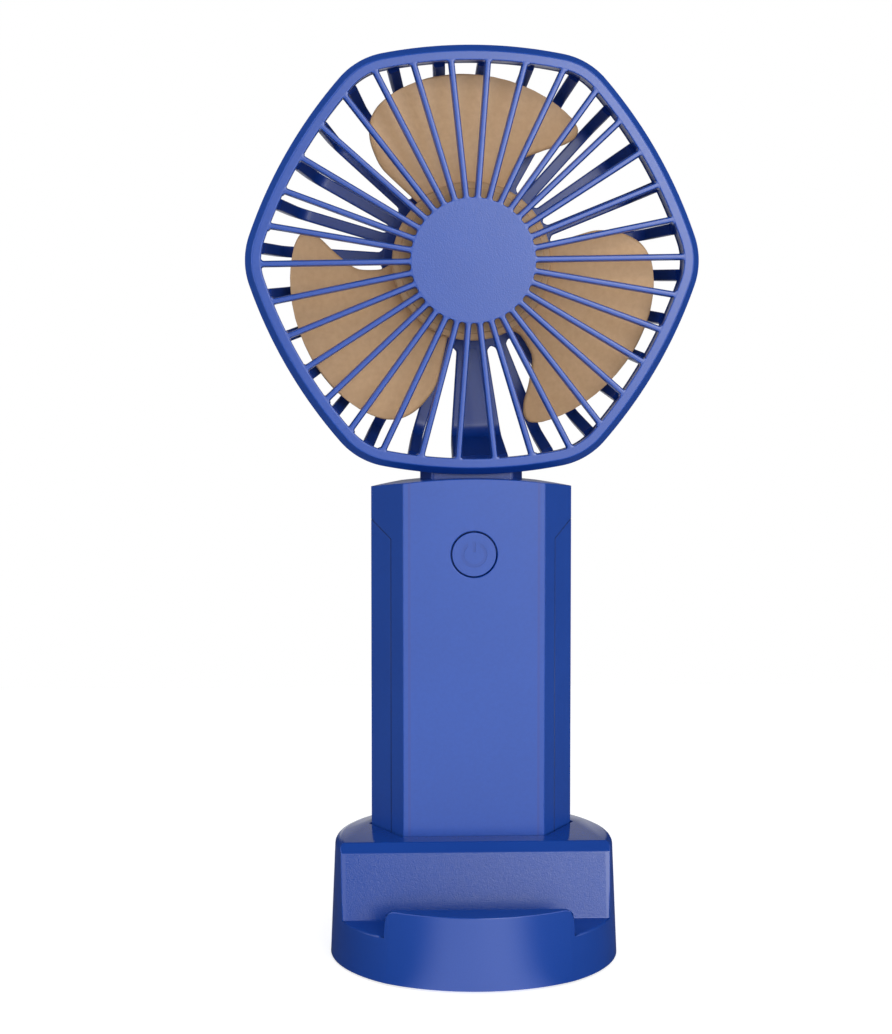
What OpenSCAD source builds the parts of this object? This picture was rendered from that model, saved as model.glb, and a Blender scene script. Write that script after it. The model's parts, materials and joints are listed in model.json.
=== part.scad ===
// Small table fan with a bowed hexagonal head and a hexagonal handle that stands in a phone dock.
// Millimetres, +Z up, -Y is the front, origin on the table under the middle of the dock.

/* [Dock] */
// Radius of the dock at its foot
dock_foot_r = 28.4; // [28:0.1:32]
// Radius of the dock at its top
dock_top_r = 27.5; // [27:0.1:31]
// Height of the dock's top face above the table
dock_h = 23.3; // [22.5:0.1:28]
// Wall of the dock shell
dock_wall = 2; // [1.4:0.1:2.4]
// Rounding radius of the dock's top edge
dock_edge_r = 1.4; // [0.6:0.1:1.8]
// Radius of the flatter front of the dock
front_arc_r = 31.2; // [30:0.1:36]
// Reach of the dock's front from its middle
front_reach = 27.7; // [27:0.1:28.2]
// Height of the phone ledge
ledge_z = 9.1; // [8.5:0.1:11]
// Height of the front lip
lip_z = 14.2; // [12.5:0.1:17]
// Distance of the lip's back face in front of the dock's middle
lip_back = 21.3; // [19:0.1:22.5]
// Distance of the slope's foot in front of the dock's middle
slope_foot = 10.3; // [9:0.1:13]
// Distance of the brow's upper edge in front of the dock's middle
brow = 5.9; // [5:0.1:6.4]
// Reach of the slanted brow in front of its upper edge
brow_run = 2; // [1:0.1:2.4]
// Height of the slanted brow above the slope
brow_h = 1.6; // [1.2:0.1:2.4]
// Rounding radius of the lip's upper corners
lip_corner_r = 2; // [1:0.1:3]
// Depth of the socket for the handle
socket_depth = 15.2; // [12:0.1:15.6]
// Gap between the handle and the socket's wall
socket_gap = 0.4; // [0.3:0.05:0.7]
// Thickness of the dock's bottom plate
plate_t = 1.6; // [1.4:0.1:2]
// Gap between the foot pad's recess and the heads of the dock screws
pad_margin = 1; // [1:0.5:8]
// Thickness of the foot pad
pad_t = 1; // [0.8:0.1:1.2]
// Height of the dock's rim above the table
pad_proud = 0.4; // [0.2:0.1:0.6]
// Thickness of the steel ballast
ballast_t = 3.4; // [2:0.1:3.6]
// Distance of the dock screws inside the dock's narrower radius
dock_screw_inset = 4.5; // [4.5:0.1:4.9]

/* [Handle] */
// Width of the handle across its side edges
handle_w = 40.5; // [38:0.5:43]
// Width of the handle's flat front
handle_front_w = 28; // [26:0.2:29]
// Depth of the handle
handle_d = 22; // [21.6:0.2:24]
// Distance of the handle's middle behind the dock's middle
handle_y = 10; // [9.5:0.1:10.4]
// Height of the handle's crown above the table
handle_top_z = 94.2; // [92.2:0.5:105.2]
// Radius of the handle's crowned top
crown_r = 120; // [90:1:140]
// Fall of the crowned top towards the back, in degrees
crown_fall = 2.5; // [0:0.5:3]
// Wall of the handle's shells
handle_wall = 1.6; // [1.4:0.1:1.8]
// Seam between the shells, behind the dock's middle
seam_y = 3.1; // [2.6:0.1:3.6]
// Height at which the seam turns back towards the side edge
seam_shoulder_z = 82; // [74:0.5:83]
// Height at which the seam reaches the side edge
seam_peak_z = 85.4; // [83.5:0.1:88]
// Gap between the shells
seam_gap = 0.1; // [0.05:0.05:0.2]

/* [Button] */
// Height of the button's middle below the handle's crown
button_drop = 14.9; // [13:0.1:16]
// Diameter of the button's cap
button_d = 8.7; // [7:0.1:9.2]
// Gap around the button's cap
button_gap = 0.25; // [0.2:0.05:0.5]
// How far the cap stands out at rest
button_proud = 0.15; // [0:0.05:0.3]
// Travel of the button
button_travel = 0.6; // [0.3:0.05:0.7]

/* [Head] */
// Distance from the head's middle to the middle of a side
head_apothem = 42.5; // [42.3:0.1:47]
// Radius of the bowed sides
head_bow_r = 94.2; // [90:0.2:120]
// Distance from the head's middle to its rounded corners
head_corner_r = 45.2; // [44.6:0.1:50]
// Gap between the handle's crown and the head's rim
head_gap = 0.5; // [0.4:0.1:2]
// Front face of the head, behind the dock's middle
head_front_y = 2.5; // [2:0.1:3]
// Parting plane of the grilles, behind the dock's middle
head_part_y = 11; // [10.6:0.1:11.4]
// Back of the head, behind the dock's middle
head_back_y = 27; // [26.8:0.1:28]
// Width of the bevel around the rim
rim_bevel = 1.2; // [0.6:0.1:1.4]
// Depth of the bevel around the rim
rim_bevel_d = 2.4; // [1.5:0.1:3]
// Width of the rim's flat front
rim_face_w = 1.85; // [1.6:0.05:2.1]
// Thickness of the rim's flat front
rim_face_t = 2; // [1.6:0.1:2.6]
// Wall of the front grille's rim
rim_wall = 1.8; // [1.4:0.1:2]
// Radius of the disc in the front grille
disc_r = 12.7; // [11:0.1:15]
// Thickness of the disc in the front grille
disc_t = 2; // [1.6:0.1:2.6]
// Number of front spokes
spoke_count = 34; // [24:2:40]
// Width of a front spoke at its front
spoke_front_w = 0.8; // [0.6:0.05:1]
// Width of a front spoke at its back
spoke_back_w = 1.3; // [1:0.05:1.5]
// Depth of a front spoke
spoke_d = 2.2; // [1.6:0.1:2.6]
// Turn of the front spokes about the head's axis, in degrees
spoke_roll = 1.04; // [0:0.01:2]
// How far the rear grille's side draws in towards its back
rear_draw = 5.2; // [4.8:0.1:5.6]
// Thickness of the rear grille's flat back
rear_back_t = 1.8; // [1.4:0.1:2]
// Inset of the rear grille's flat back inside its wall
rear_floor_inset = 6.9; // [6.5:0.1:7.2]
// Number of rear spoke places
rear_count = 28; // [24:2:30]
// Width of a rear spoke
rear_spoke_w = 2.3; // [1.8:0.1:2.6]
// Radius of the rear grille's hub
rear_hub_r = 18.3; // [17.8:0.1:20]
// Turn of the rear spokes about the head's axis, in degrees
rear_roll = 2.8; // [0:0.1:4]
// Width of the neck
neck_w = 20.8; // [18:0.2:24]
// Width of the neck's flat front
neck_front_w = 16.2; // [14:0.2:17]
// Depth of the neck
neck_d = 9.2; // [8.6:0.1:10]

/* [Impeller] */
// Radius of the impeller's hub
hub_r = 15.9; // [15.6:0.1:16.4]
// Wall of the impeller's hub
hub_wall = 1.8; // [1.4:0.1:1.8]
// Front of the impeller's hub, behind the dock's middle
hub_front_y = 8; // [7.6:0.1:8.4]
// Depth of the impeller's hub
hub_d = 10.5; // [10.2:0.1:10.6]
// Radius of the blade tips
tip_r = 36.9; // [34:0.1:37.2]
// Number of blades
blade_count = 3; // [2:1:3]
// Depth that a blade spans from its front edge to its rear edge
blade_depth = 6.6; // [5:0.1:6.8]
// Thickness of a blade
blade_t = 1.2; // [1:0.1:1.4]

/* [Motor] */
// Radius of the motor can
motor_r = 12.2; // [11.6:0.1:12.4]
// Length of the motor
motor_len = 11.2; // [11:0.1:11.4]
// Wall of the motor can
can_t = 0.8; // [0.6:0.1:0.9]
// Radius of the motor shaft
shaft_r = 1; // [0.8:0.05:1.2]
// Outer radius of the motor's bushes
bush_r = 2.5; // [2:0.1:2.8]
// Running clearance between shaft and bush
run_gap = 0.03; // [0.02:0.01:0.08]
// Gap between the rotor and the magnets
air_gap = 0.4; // [0.3:0.05:0.5]

/* [Electrics] */
// Diameter of the battery cell
cell_d = 14.2; // [13.6:0.1:14.6]
// Length of the battery cell
cell_l = 50; // [45:0.5:50]
// Radius of an insulated lead
lead_r = 0.5; // [0.4:0.05:0.55]
// Thickness of a circuit board
board_t = 1.2; // [1:0.1:1.4]
// Width of the control board
board_w = 22; // [21:0.5:23]
// Height of the control board
board_h = 20; // [19:0.5:20]

/* [Fasteners] */
// Radius of a screw's thread
screw_r = 1; // [0.8:0.05:1.1]
// Radius of a screw's head
screw_head_r = 1.9; // [1.6:0.1:2]
// Height of a screw's head
screw_head_h = 1; // [0.8:0.1:1.1]

/* [Hidden] */
$fn = 96;
fit = 0.1;
touch = 0.02;
lap = 0.6;
far = 60;

// Dock levels and the flatter front
socket_floor = dock_h - socket_depth;
slope_top_z = dock_h - brow_h;
front_arc_y = front_arc_r - front_reach;
plate_top = pad_proud + plate_t;
dock_boss_r = screw_r + 1.4;
dock_boss_h = max(ledge_z, socket_floor) - dock_wall + lap - plate_top;
dock_screw_l = min(ledge_z, socket_floor) - dock_wall - pad_proud - 0.6;
dock_screw_r = min(dock_foot_r, dock_top_r) - dock_screw_inset;
pad_r = dock_screw_r - screw_head_r - fit - pad_margin;
ballast_r = dock_screw_r - dock_boss_r - fit;
dock_screw_angles = [90, 210, 330];

// Handle levels
seat_gap = 0.1;
handle_z0 = socket_floor + seat_gap;
handle_front_y = handle_y - handle_d / 2;
handle_back_y = handle_y + handle_d / 2;
front_inner_y = handle_front_y + handle_wall;
back_inner_y = handle_back_y - handle_wall;
button_z = handle_top_z - button_drop;

// Head levels
head_low = min(head_apothem, head_corner_r);
head_z = handle_top_z + head_gap + head_low;
rim_inset = rim_bevel + rim_face_w;
tongue_l = 3;
rear_floor_y = head_back_y - rear_back_t;
rear_wall_inset = rear_draw * (rear_floor_y - head_part_y) / (head_back_y - head_part_y);
slot_inset = 0.8;
spoke_pitch = 360 / spoke_count;
rear_pitch = 360 / rear_count;
neck_z0 = handle_top_z - 6.5;
flange_z0 = neck_z0 + 1;
flange_t = 1.5;
flange_grow = 1.8;
neck_front_top = head_z - head_low + rim_wall / 2;
neck_rear_top = head_z - head_low + rim_inset - lap;

// Motor levels along Y
motor_back_y = rear_floor_y - 1.5;
motor_front_y = motor_back_y - motor_len;
can_inner_r = motor_r - can_t;
end_cap_t = 1.5;
end_cap_y = motor_back_y - end_cap_t;
seat_wall = 1.6;
seat_d = 4.6;
magnet_t = 1.8;
rotor_r = can_inner_r - magnet_t - air_gap;
core_y0 = motor_front_y + can_t + 1.3;
core_y1 = core_y0 + 4.2;
commutator_r = 2.6;
brush_l = 3.2;
end_turn_d = 0.8;
end_turn_gap = 0.8;
brush_clear = 0.5;
commutator_y1 = core_y1 + 2;
shaft_y0 = hub_front_y + hub_wall / 2;
shaft_y1 = motor_back_y - 0.5;

// Electrics inside the handle
board_y = front_inner_y + 3.4;
board_back_y = board_y + board_t;
board_z1 = neck_z0 - 0.5;
board_z0 = board_z1 - board_h;
board_post_x = board_w / 2 - 2.5;
board_post_z = [board_z0 + 2.5, board_z1 - 2.5];
switch_w = 5;
switch_d = 1.7;
switch_y = board_y - switch_d;
plunger_r = 1.1;
cap_back_y = front_inner_y + 0.15;
cap_flange_t = 0.6;
stem_y1 = front_inner_y + 1;
plunger_y1 = stem_y1 + 1.6;
usb_board_z = board_z0 - 0.5;
usb_board_w = 20;
usb_board_l = 10.2;
usb_board_gap = 0.2;
usb_w = 8.94;
usb_h = 3.26;
usb_l = 7.2;
usb_wall = 0.3;
usb_z = usb_board_z + board_t + usb_h / 2;
usb_y1 = handle_back_y - 0.4;
usb_board_y = back_inner_y - usb_board_gap - usb_board_l;
board_lead_gap = 1;
board_lead_x = board_post_x - screw_head_r - lead_r - board_lead_gap;
board_lead_y = usb_board_y + lead_r + 0.3;
board_lead_z = usb_board_z + 5;
tab_t = 0.3;
tab_r = 3;
cell_y = back_inner_y - 0.7 - cell_d / 2;
cell_z1 = usb_board_z - 2 - tab_t;
cell_z0 = cell_z1 - cell_l;
handle_boss_r = screw_head_r + 1;
handle_boss_gap = 1;
handle_screw_x = cell_d / 2 + handle_boss_r + handle_boss_gap;
handle_screw_rise = 11;
handle_screw_drop = 4;
handle_screw_z = [cell_z0 + handle_screw_rise, cell_z1 - handle_screw_drop];
handle_head_y = handle_back_y - 0.4;
lead_x = 6.2;
lead_y = cell_y - cell_d / 2 + 0.7;
motor_lead_x = [0.9, 2.5];
motor_lead_y = head_part_y + 1.4;
motor_lead_z = neck_z0 - 2;
stem_lead_y = rear_floor_y + rear_back_t / 2;
stem_lead_z = head_z - head_low + rear_floor_inset - 0.8;
neck_lead_z = head_z - head_low + rim_inset - 0.45;

// Colours
blue = [0.25, 0.36, 0.66];
navy = [0.12, 0.22, 0.50];
tan = [0.70, 0.56, 0.43];
steel = [0.72, 0.73, 0.75];
brass = [0.78, 0.62, 0.30];
copper = [0.72, 0.42, 0.20];
black = [0.10, 0.10, 0.11];
green = [0.10, 0.35, 0.20];
red = [0.75, 0.12, 0.10];

// A cone's frustum along Y, at a height z
module cone_y(y0, y1, r0, r1, x = 0, z = 0)
    translate([x, y0, z]) rotate([-90, 0, 0]) cylinder(h = y1 - y0, r1 = r0, r2 = r1);

// A cylinder along Y, at a height z
module rod_y(y0, y1, r, x = 0, z = 0)
    cone_y(y0, y1, r, r, x, z);

// A flat outline in X and Z, thickened from y0 to y1
module prism_y(y0, y1)
    translate([0, y1, 0]) rotate([90, 0, 0]) linear_extrude(y1 - y0) children();

// A flat outline in Y and Z, thickened along X
module prism_x(length)
    rotate([90, 0, 90]) linear_extrude(length, center = true) children();

// A box given by its low and high corners
module box(low, high)
    translate(low) cube(high - low);

// A round rod from a to b
module rod(a, b, r) {
    d = b - a;
    translate(a) rotate([0, acos(d.z / norm(d)), atan2(d.y, d.x)]) cylinder(h = norm(d), r = r);
}

// A lead along straight runs, with a ball at each bend
module lead(points, r = lead_r) {
    for (i = [0 : len(points) - 2]) rod(points[i], points[i + 1], r);
    for (i = [1 : len(points) - 2]) translate(points[i]) sphere(r = r);
}

// A cross-head screw that points along +Z, with its head's top at the origin
module screw(length)
    difference() {
        union() {
            cylinder(h = screw_head_h, r = screw_head_r);
            cylinder(h = length, r = screw_r);
        }
        for (a = [0, 90]) rotate(a)
            box([-screw_head_r / 2, -0.2, -1], [screw_head_r / 2, 0.2, screw_head_h / 2]);
    }

// Dock radius at a height
function dock_r(z) = dock_foot_r - (dock_foot_r - dock_top_r) * (z - pad_proud) / (dock_h - pad_proud);

// The dock's round form with its flatter front, drawn in by an inset
module dock_form(inset, z0, z1)
    intersection() {
        translate([0, 0, z0]) cylinder(h = z1 - z0, r1 = dock_r(z0) - inset, r2 = dock_r(z1) - inset);
        front_form(inset, z0, z1);
    }

module front_form(inset, z0, z1) {
    r0 = front_arc_r - dock_foot_r + dock_r(z0) - inset;
    r1 = front_arc_r - dock_foot_r + dock_r(z1) - inset;
    translate([0, front_arc_y, z0]) cylinder(h = z1 - z0, r1 = r0, r2 = r1);
}

// The dock's outside with a rounded top edge
module dock_body()
    intersection() {
        rotate_extrude() polygon(concat(
            [[0, pad_proud], [dock_foot_r, pad_proud]],
            [for (a = [0 : 18 : 90])
                [dock_top_r - dock_edge_r * (1 - cos(a)), dock_h - dock_edge_r * (1 - sin(a))]],
            [[0, dock_h]]));
        front_form(0, pad_proud, dock_h);
    }

// What is cut away for the phone: the space above the ledge, behind and over the lip
module phone_cut()
    prism_x(2 * far) polygon([[-lip_back, ledge_z], [-slope_foot, ledge_z],
        [-brow - brow_run, slope_top_z], [-brow, dock_h], [-brow, dock_h + 1], [-far, dock_h + 1],
        [-far, lip_z], [-lip_back, lip_z]]);

// Rounds the lip's two upper corners
module lip_corners() {
    half = sqrt(pow(dock_r(lip_z), 2) - pow(lip_back, 2));
    for (s = [-1, 1]) scale([s, 1, 1]) difference() {
        box([half - lip_corner_r, -far, lip_z - lip_corner_r], [far, -lip_back, lip_z + 1]);
        rod_y(-far - 1, -lip_back + 1, lip_corner_r, half - lip_corner_r, lip_z - lip_corner_r);
    }
}

// The dock's hollow underside, a wall inside every outer face and socket face
module dock_hollow()
    difference() {
        dock_form(dock_wall, pad_proud - 1, dock_h - dock_wall);
        translate([0, 0, socket_floor - dock_wall]) linear_extrude(dock_h)
            polygon(handle_points(-socket_gap - dock_wall));
        prism_x(2 * far) polygon([[-far, ledge_z - dock_wall],
            [dock_wall - slope_foot, ledge_z - dock_wall], [dock_wall - brow - brow_run, slope_top_z],
            [dock_wall - brow, dock_h + 1], [-far, dock_h + 1]]);
    }

module at_dock_screws()
    for (a = dock_screw_angles) rotate(a) translate([dock_screw_r, 0, 0]) children();

module dock_shell() color(blue)
    difference() {
        union() {
            difference() {
                dock_body();
                phone_cut();
                lip_corners();
                dock_hollow();
                translate([0, 0, socket_floor]) linear_extrude(dock_h) polygon(handle_points(-socket_gap));
            }
            at_dock_screws() translate([0, 0, plate_top]) cylinder(h = dock_boss_h, r = dock_boss_r);
        }
        at_dock_screws() translate([0, 0, plate_top - 1]) cylinder(h = dock_screw_l, r = screw_r + touch);
    }

module dock_ballast() color(steel)
    translate([0, 0, plate_top]) cylinder(h = ballast_t, r = ballast_r);

module dock_plate() color(navy)
    difference() {
        dock_form(dock_wall + fit, pad_proud, plate_top);
        cylinder(h = pad_t, r = pad_r + fit);
        at_dock_screws() cylinder(h = far, r = screw_r + fit);
        at_dock_screws() cylinder(h = pad_proud + fit + screw_head_h, r = screw_head_r + fit);
    }

module foot_pad() color(black)
    cylinder(h = pad_t, r = pad_r);

module dock_screws() color(steel)
    at_dock_screws() translate([0, 0, pad_proud + fit]) screw(dock_screw_l - 0.6);

// The handle's six corners in plan, drawn in by an inset
function handle_points(inset) =
    let (half_w = handle_w / 2, half_f = handle_front_w / 2, half_d = handle_d / 2)
    let (side = half_w - inset * norm([half_w - half_f, half_d]) / half_d)
    let (deep = half_d - inset)
    let (flat = side - (half_w - half_f) * deep / half_d)
    [for (p = [[-flat, -deep], [flat, -deep], [side, 0], [flat, deep], [-flat, deep], [-side, 0]])
        [p.x, p.y + handle_y]];

// The handle's form with its crowned top, drawn in by an inset
module handle_form(inset)
    intersection() {
        translate([0, 0, handle_z0 + inset]) linear_extrude(handle_top_z - handle_z0)
            polygon(handle_points(inset));
        translate([0, handle_front_y, handle_top_z]) rotate([-crown_fall, 0, 0])
            rod_y(-far, far, crown_r - inset, 0, -crown_r);
    }

// One side of the seam between the handle's shells: sign -1 for the front, 1 for the rear
module seam_side(sign) {
    shift = max(sign, 0) * seam_gap;
    prism_x(2 * far) polygon([[sign * far, -1], [seam_y + shift, -1], [seam_y + shift, seam_shoulder_z],
        [handle_y + shift, seam_peak_z], [handle_y + shift, handle_top_z + 1],
        [sign * far, handle_top_z + 1]]);
}

// The neck's six corners in plan, grown by an amount
function neck_points(grow) =
    let (side = neck_w / 2 + grow, flat = neck_front_w / 2 + grow, deep = neck_d / 2 + grow)
    [for (p = [[-flat, -deep], [flat, -deep], [side, 0], [flat, deep], [-flat, deep], [-side, 0]])
        [p.x, p.y + head_part_y]];

module neck_prism(grow, z0, z1)
    translate([0, 0, z0]) linear_extrude(z1 - z0) polygon(neck_points(grow));

// Half of the neck and its flange on one side of the head's parting plane
module half_neck(sign, top)
    intersection() {
        union() {
            neck_prism(0, neck_z0, top);
            neck_prism(flange_grow, flange_z0, flange_z0 + flange_t);
        }
        translate([0, head_part_y + sign * far / 2, handle_top_z]) cube(far, center = true);
    }

module at_handle_screws()
    for (s = [-1, 1], z = handle_screw_z) translate([s * handle_screw_x, 0, z]) children();

module at_board_screws()
    for (s = [-1, 1], z = board_post_z) translate([s * board_post_x, 0, z]) children();

// One shell of the handle before its bosses are added
module handle_shell(sign)
    difference() {
        intersection() {
            handle_form(0);
            seam_side(sign);
        }
        handle_form(handle_wall);
        neck_prism(fit, neck_z0 - 1, handle_top_z + 1);
    }

module handle_front() color(blue)
    difference() {
        union() {
            difference() {
                handle_shell(-1);
                rod_y(handle_front_y - 1, front_inner_y + 1, button_d / 2 + button_gap, 0, button_z);
            }
            at_handle_screws() rod_y(front_inner_y - lap, cell_y - 2, handle_boss_r);
            at_board_screws() rod_y(front_inner_y - lap, board_y, screw_r + 0.8);
        }
        at_handle_screws() rod_y(front_inner_y + 1, far, screw_r + touch);
        at_board_screws() rod_y(front_inner_y, far, screw_r + touch);
    }

module handle_rear() color(blue)
    difference() {
        union() {
            handle_shell(1);
            at_handle_screws() rod_y(cell_y - 2 + seam_gap, back_inner_y + lap, handle_boss_r);
            cell_cradle();
            box([-9, back_inner_y - 3.4, usb_board_z - 1.6], [9, back_inner_y + lap, usb_board_z]);
        }
        at_handle_screws() rod_y(0, far, screw_r + fit);
        at_handle_screws() rod_y(handle_head_y - screw_head_h - fit, far, screw_head_r + fit);
        prism_y(back_inner_y - 1, far) translate([0, usb_z]) usb_outline(fit);
    }

// Ribs that hold the battery cell from behind, and the step under its lower end
module cell_cradle() {
    rib_t = 2.5;
    rib_w = cell_d / 2 + 1.5;
    difference() {
        for (z = [cell_z0 + 3, cell_z1 - 3 - rib_t])
            box([-rib_w, cell_y + 1.4, z], [rib_w, back_inner_y + lap, z + rib_t]);
        translate([0, cell_y, cell_z0 - 1]) cylinder(h = cell_l + 2, d = cell_d + 2 * fit);
    }
    box([-cell_d / 3, cell_y + tab_r + 4 * fit, handle_z0 + handle_wall - lap],
        [cell_d / 3, back_inner_y + lap, cell_z0]);
}

// The head's bowed hexagon along Y, with an inset at each end
module head_form(y0, y1, inset0, inset1)
    translate([0, 0, head_z]) intersection() {
        head_bow(30, y0, y1, inset0, inset1);
        head_bow(90, y0, y1, inset0, inset1);
        head_bow(150, y0, y1, inset0, inset1);
        head_bow(210, y0, y1, inset0, inset1);
        head_bow(270, y0, y1, inset0, inset1);
        head_bow(330, y0, y1, inset0, inset1);
        cone_y(y0, y1, head_corner_r - inset0, head_corner_r - inset1);
    }

module head_bow(a, y0, y1, inset0, inset1) {
    back = head_bow_r - head_apothem;
    cone_y(y0, y1, head_bow_r - inset0, head_bow_r - inset1, -back * cos(a), -back * sin(a));
}

// A front spoke along +Z with a narrower front
module front_spoke()
    translate([0, 0, disc_r - lap]) linear_extrude(head_corner_r - disc_r) polygon([
        [-spoke_front_w / 2, head_front_y], [spoke_front_w / 2, head_front_y],
        [spoke_back_w / 2, head_front_y + spoke_d], [-spoke_back_w / 2, head_front_y + spoke_d]]);

// The front grille's rim with its half of the neck
module front_grille() color(blue)
    union() {
        difference() {
            union() {
                head_form(head_front_y, head_front_y + rim_bevel_d, rim_bevel, 0);
                head_form(head_front_y + rim_bevel_d, head_part_y, 0, 0);
            }
            head_form(head_front_y - 1, head_part_y + 1, rim_inset, rim_inset);
            head_form(head_front_y + rim_face_t, head_part_y + 1, rim_wall, rim_wall);
        }
        half_neck(-1, neck_front_top);
    }

// The front grille's disc and spokes, which end on the rim
module front_spokes() color(blue)
    union() {
        intersection() {
            translate([0, 0, head_z]) for (i = [0 : spoke_count - 1])
                rotate([0, (i + 0.5) * spoke_pitch - spoke_roll, 0]) front_spoke();
            head_form(head_front_y - 1, head_part_y, rim_inset, rim_inset);
        }
        rod_y(head_front_y, head_front_y + disc_t, disc_r, 0, head_z);
    }

// One opening of the rear grille along +Y in the flat, between two spokes, with a round inner end
module rear_slot() {
    half = rear_pitch / 2;
    inner = [(rear_hub_r * sin(half)) - rear_spoke_w / 2 * cos(half), rear_hub_r];
    outer = [(far * sin(half)) - rear_spoke_w / 2 * cos(half), far * cos(half)];
    polygon([[-inner.x, inner.y], inner, outer, [-outer.x, outer.y]]);
    translate([0, inner.y]) circle(r = inner.x);
}

// All openings of the rear grille, without the one that the wire stem fills
module rear_slots()
    intersection() {
        translate([0, 0, head_z]) prism_y(head_part_y + 1, far) for (i = [0 : rear_count - 1])
            if (i != rear_count / 2) rotate(rear_roll - i * rear_pitch) rear_slot();
        head_form(head_part_y, far + 1, slot_inset, slot_inset);
    }

// A motor lead's path: inside the rear grille's back and wall, then through the neck to the control board
function motor_lead_points(x) = [[x, motor_back_y, head_z - 6], [x, stem_lead_y, head_z - 6],
    [x, stem_lead_y, stem_lead_z], [x, motor_lead_y, neck_lead_z], [x, motor_lead_y, motor_lead_z],
    [x, board_back_y, motor_lead_z]];

// A straight run of the channel in Y and Z
module channel_run(a, b, w)
    translate(a) rotate(atan2(b.y - a.y, b.x - a.x)) translate([0, -w / 2]) square([norm(b - a), w]);

// The channel that both motor leads lie in
module lead_channel() {
    path = [for (p = motor_lead_points(0)) [p.y, p.z]];
    gap = 2 * (lead_r + fit);
    span = motor_lead_x[1] - motor_lead_x[0] + gap;
    translate([(motor_lead_x[0] + motor_lead_x[1]) / 2, 0, 0]) prism_x(span) {
        for (i = [0 : len(path) - 2]) channel_run(path[i], path[i + 1], gap);
        for (i = [1 : len(path) - 2]) translate(path[i]) circle(r = gap / 2);
    }
}

// The rear grille's wall with the tongue that enters the front rim and its half of the neck
module rear_grille() color(navy)
    difference() {
        union() {
            difference() {
                union() {
                    head_form(head_part_y, rear_floor_y, 0, rear_wall_inset);
                    head_form(head_part_y - tongue_l, head_part_y + lap, rim_wall + fit, rim_wall + fit);
                }
                head_form(head_part_y - tongue_l - 1, head_part_y, rim_inset, rim_inset);
                head_form(head_part_y, rear_floor_y, rim_inset, rear_floor_inset);
                rear_slots();
            }
            half_neck(1, neck_rear_top);
        }
        lead_channel();
    }

// The rear grille's flat back: hub, spokes and the stem that hides the motor leads
module rear_back() color(navy)
    difference() {
        head_form(rear_floor_y, head_back_y, rear_wall_inset, rear_draw);
        rear_slots();
        lead_channel();
    }

// The cup on the rear grille's hub that holds the motor, with a step under the motor's back
module motor_seat() color(navy)
    translate([0, 0, head_z]) difference() {
        rod_y(rear_floor_y - 1.5 - seat_d, rear_floor_y, motor_r + seat_wall);
        rod_y(rear_floor_y - 1.6 - seat_d, motor_back_y, motor_r + fit);
        rod_y(motor_back_y - 1, rear_floor_y + 1, motor_r - 1.8);
        box([motor_lead_x[0] - 1, motor_back_y, -motor_r - seat_wall - 1],
            [motor_lead_x[1] + 1, rear_floor_y + 1, 0]);
    }

module motor_can() color(steel)
    translate([0, 0, head_z]) difference() {
        rod_y(motor_front_y, motor_back_y, motor_r);
        rod_y(motor_front_y + can_t, motor_back_y + 1, can_inner_r);
        rod_y(motor_front_y - 1, motor_front_y + 1, bush_r + touch);
    }

module motor_end_cap() color(black)
    translate([0, 0, head_z]) difference() {
        rod_y(end_cap_y, motor_back_y, can_inner_r - touch);
        rod_y(end_cap_y - 1, motor_back_y + 1, bush_r + touch);
    }

module motor_magnets() color(black)
    translate([0, 0, head_z]) for (a = [0, 180]) rotate([-90, a, 0])
        translate([0, 0, core_y0 - 0.4]) rotate(-60) rotate_extrude(angle = 120)
            translate([can_inner_r - touch - magnet_t, 0]) square([magnet_t, core_y1 - core_y0 + 0.8]);

module motor_brushes() color(copper)
    for (s = [-1, 1]) scale([s, 1, 1])
        box([commutator_r + 0.05, core_y1 + 0.5, head_z - 0.6],
            [commutator_r + brush_l, end_cap_y, head_z + 0.6]);

module motor_bushes() color(brass)
    translate([0, 0, head_z]) difference() {
        union() {
            rod_y(motor_front_y - 0.3, motor_front_y + 1.2, bush_r);
            rod_y(end_cap_y - 0.3, motor_back_y - 0.1, bush_r);
        }
        rod_y(0, far, shaft_r + run_gap);
    }

module motor_lead_red() color(red) lead(motor_lead_points(motor_lead_x[0]));

module motor_lead_black() color(black) lead(motor_lead_points(motor_lead_x[1]));

module control_board() color(green)
    difference() {
        box([-board_w / 2, board_y, board_z0], [board_w / 2, board_back_y, board_z1]);
        at_board_screws() rod_y(0, far, screw_r + fit);
    }

module switch_body() color(black)
    difference() {
        box([-switch_w / 2, switch_y, button_z - switch_w / 2],
            [switch_w / 2, board_y, button_z + switch_w / 2]);
        rod_y(switch_y - 1, board_y - 0.1, plunger_r + 0.3, 0, button_z);
    }

module board_screws() color(steel)
    at_board_screws() translate([0, board_back_y + screw_head_h, 0]) rotate([90, 0, 0])
        screw(board_back_y + screw_head_h - front_inner_y - 0.4);

module usb_board() color(green)
    translate([-usb_board_w / 2, usb_board_y, usb_board_z]) cube([usb_board_w, usb_board_l, board_t]);

// The USB receptacle's outline, grown by an amount
module usb_outline(grow) {
    r = usb_h / 2 + grow;
    half = usb_w / 2 - usb_h / 2;
    translate([-half, 0]) circle(r = r);
    translate([half, 0]) circle(r = r);
    square([2 * half, 2 * r], center = true);
}

module usb_shell() color(steel)
    difference() {
        prism_y(usb_y1 - usb_l, usb_y1) translate([0, usb_z]) usb_outline(0);
        prism_y(usb_y1 - usb_l + usb_wall, usb_y1 + 1) translate([0, usb_z]) usb_outline(-usb_wall);
    }

module usb_tongue() color(black)
    translate([0, 0, usb_z]) {
        box([-3.3, usb_y1 - usb_l + usb_wall, -0.35], [3.3, usb_y1 - 0.8, 0.35]);
        box([-3.3, usb_y1 - usb_l + usb_wall, -1.2], [3.3, usb_y1 - usb_l + 1.2, 1.2]);
    }

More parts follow.
